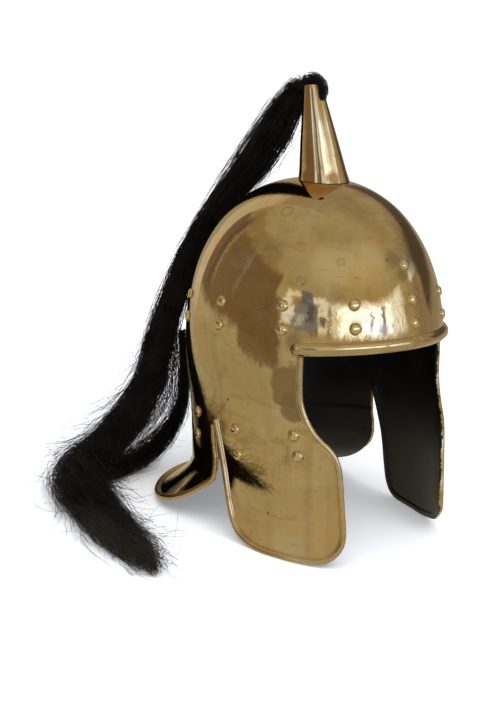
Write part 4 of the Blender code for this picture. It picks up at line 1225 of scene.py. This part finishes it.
# the room the brass mirrors, in degrees: azimuth from the front towards the wearer's left, and height
studio = {
    "low": (0.535, 0.505, 0.365),
    "high": (0.535, 0.505, 0.375),
    # what lights the floor and the hair, instead of the mirrored room
    "shadeless": (0.66, 0.69, 0.74),
    # from and to in azimuth, softness, from and to in height, softness, colour, share
    "patches": (
        (60.0, 200.0, 20.0, 44.0, 78.0, 10.0, (0.40, 0.35, 0.25), 0.7),
        (-64.0, 34.0, 22.0, 36.0, 62.0, 8.0, (0.80, 0.82, 0.66), 0.6),
        (52.0, 118.0, 9.0, -12.0, 34.0, 8.0, (0.30, 0.25, 0.19), 0.7),
        (118.0, 162.0, 8.0, -14.0, 60.0, 9.0, (0.34, 0.28, 0.20), 0.6),
        (-200.0, -94.0, 1.6, -7.0, 30.0, 2.0, (0.225, 0.170, 0.118), 0.95),
        (-104.0, -87.0, 1.6, -9.0, 17.0, 1.8, (0.225, 0.170, 0.118), 0.95),
        (-124.0, -86.0, 2.0, -13.0, 2.0, 1.6, (0.225, 0.170, 0.118), 0.9),
        (-176.0, -104.0, 5.0, 29.0, 42.0, 3.0, (0.36, 0.295, 0.185), 0.85),
        (74.0, 128.0, 3.0, 2.0, 25.0, 4.0, (0.075, 0.060, 0.048), 0.88),
        (-171.0, -161.0, 2.0, -4.0, 34.0, 4.0, (0.16, 0.12, 0.10), 0.7),
        (-164.0, -160.0, 1.0, 0.0, 32.0, 4.0, (0.50, 0.44, 0.33), 0.6),
        (-134.0, -131.0, 1.0, 4.0, 34.0, 4.0, (0.42, 0.37, 0.28), 0.5),
        (-85.0, 37.0, 1.2, 6.5, 25.0, 1.2, (1.05, 1.20, 1.45), 1.0),
        (-36.0, 34.0, 1.0, 8.0, 22.5, 1.2, (1.9, 2.4, 3.8), 1.0),
        (-77.0, -56.0, 1.2, 5.0, 21.0, 1.2, (0.22, 0.27, 0.42), 0.95),
        (-72.0, -62.0, 1.0, 19.0, 27.0, 1.0, (0.16, 0.20, 0.32), 0.95),
        (-74.0, -68.0, 1.0, 7.0, 13.0, 1.0, (0.80, 0.90, 1.00), 0.6),
        (-66.0, -60.0, 1.0, 10.0, 20.0, 1.0, (0.12, 0.14, 0.20), 0.9),
        (-80.0, -72.0, 1.5, 16.0, 22.0, 1.0, (0.42, 0.33, 0.14), 0.8),
        (-55.0, -49.0, 1.0, 9.0, 15.0, 1.0, (0.12, 0.13, 0.16), 0.9),
        (-46.0, -43.5, 0.7, 6.0, 24.0, 1.5, (0.30, 0.27, 0.22), 0.8),
        (-5.0, -3.0, 0.5, 10.0, 20.0, 1.0, (0.22, 0.20, 0.16), 0.9),
        (8.0, 13.0, 0.8, 8.0, 22.0, 1.5, (0.25, 0.23, 0.20), 0.9),
        (20.0, 36.0, 2.5, 6.0, 24.0, 3.0, (0.80, 0.95, 1.10), 0.6),
        (54.0, 71.0, 2.0, 20.0, 24.0, 1.2, (1.2, 1.4, 1.7), 0.7),
        (58.0, 66.0, 1.5, 26.0, 30.0, 1.2, (1.0, 1.2, 1.4), 0.6),
        (164.0, 200.0, 2.0, -12.0, 46.0, 4.0, (0.78, 0.74, 0.58), 0.7),
    ),
}
room = Finish(bpy.data.worlds.new("studio"))
scene.world = room.owner
sky = room.add("ShaderNodeTexCoord", out=0)
sight = room.split(sky)
warp = room.noise(2.6, 3.0, 0.5, sky) - 0.5
ripple = room.noise(11.0, 4.0, 0.6, sky) - 0.5
jag = room.noise(34.0, 5.0, 0.7, sky) - 0.5
streak = room.noise(6.0, 4.0, 0.6, sky, (1.0, 1.0, 7.0)) - 0.5
perTurn = 180.0 / math.pi
turnAt = sight[0].maths("ARCTAN2", sight[1] * -1.0) * perTurn + warp * 9.0 + ripple * 7.0
turnAt = turnAt + streak * 5.0 + jag * 11.0
heightAt = sight[2].maths("ARCSINE") * perTurn + warp * 6.0 + ripple * 6.0 + jag * 7.0
colour = room.blend(heightAt.ramp(-30.0, 60.0), studio["low"], studio["high"])
mottle = room.noise(4.5, 5.0, 0.6, sky)
colour = room.blend(mottle.ramp(0.38, 0.72) * 0.45, colour, (0.36, 0.33, 0.22))
for *limits, tint, share in studio["patches"]:
    patch = turnAt.between(*limits[:3]) * heightAt.between(*limits[3:])
    colour = room.blend(patch * share, colour, tint)
# thin wavering dark lines across the bright windows
waver = (room.noise(13.0, 4.0, 0.62, sky, (1.0, 1.0, 0.22)) - 0.5).maths("ABSOLUTE")
lines = waver.ramp(0.004, 0.013, 1.0, 0.0) * turnAt.between(-58.0, 70.0, 4.0)
lines = lines * heightAt.between(4.0, 21.0, 2.0)
colour = room.blend(lines * 0.85, colour, (0.22, 0.19, 0.13))
mirrored = room.add("ShaderNodeLightPath", out=3)
room.feed("Color", room.blend(mirrored, studio["shadeless"], colour))
room.feed("Strength", 1.0)

# one broad soft light from above
lamp = {"turn": (24.0, -18.0, 0.0), "spread": 60.0, "power": 1.75}
light = bpy.data.lights.new("soft", "SUN")
light.energy = lamp["power"]
light.angle = math.radians(lamp["spread"])
lampObject = bpy.data.objects.new("soft", light)
scene.collection.objects.link(lampObject)
lampObject.rotation_euler = [math.radians(turn) for turn in lamp["turn"]]
lampObject.visible_glossy = False
scene.view_settings.view_transform = "Standard"
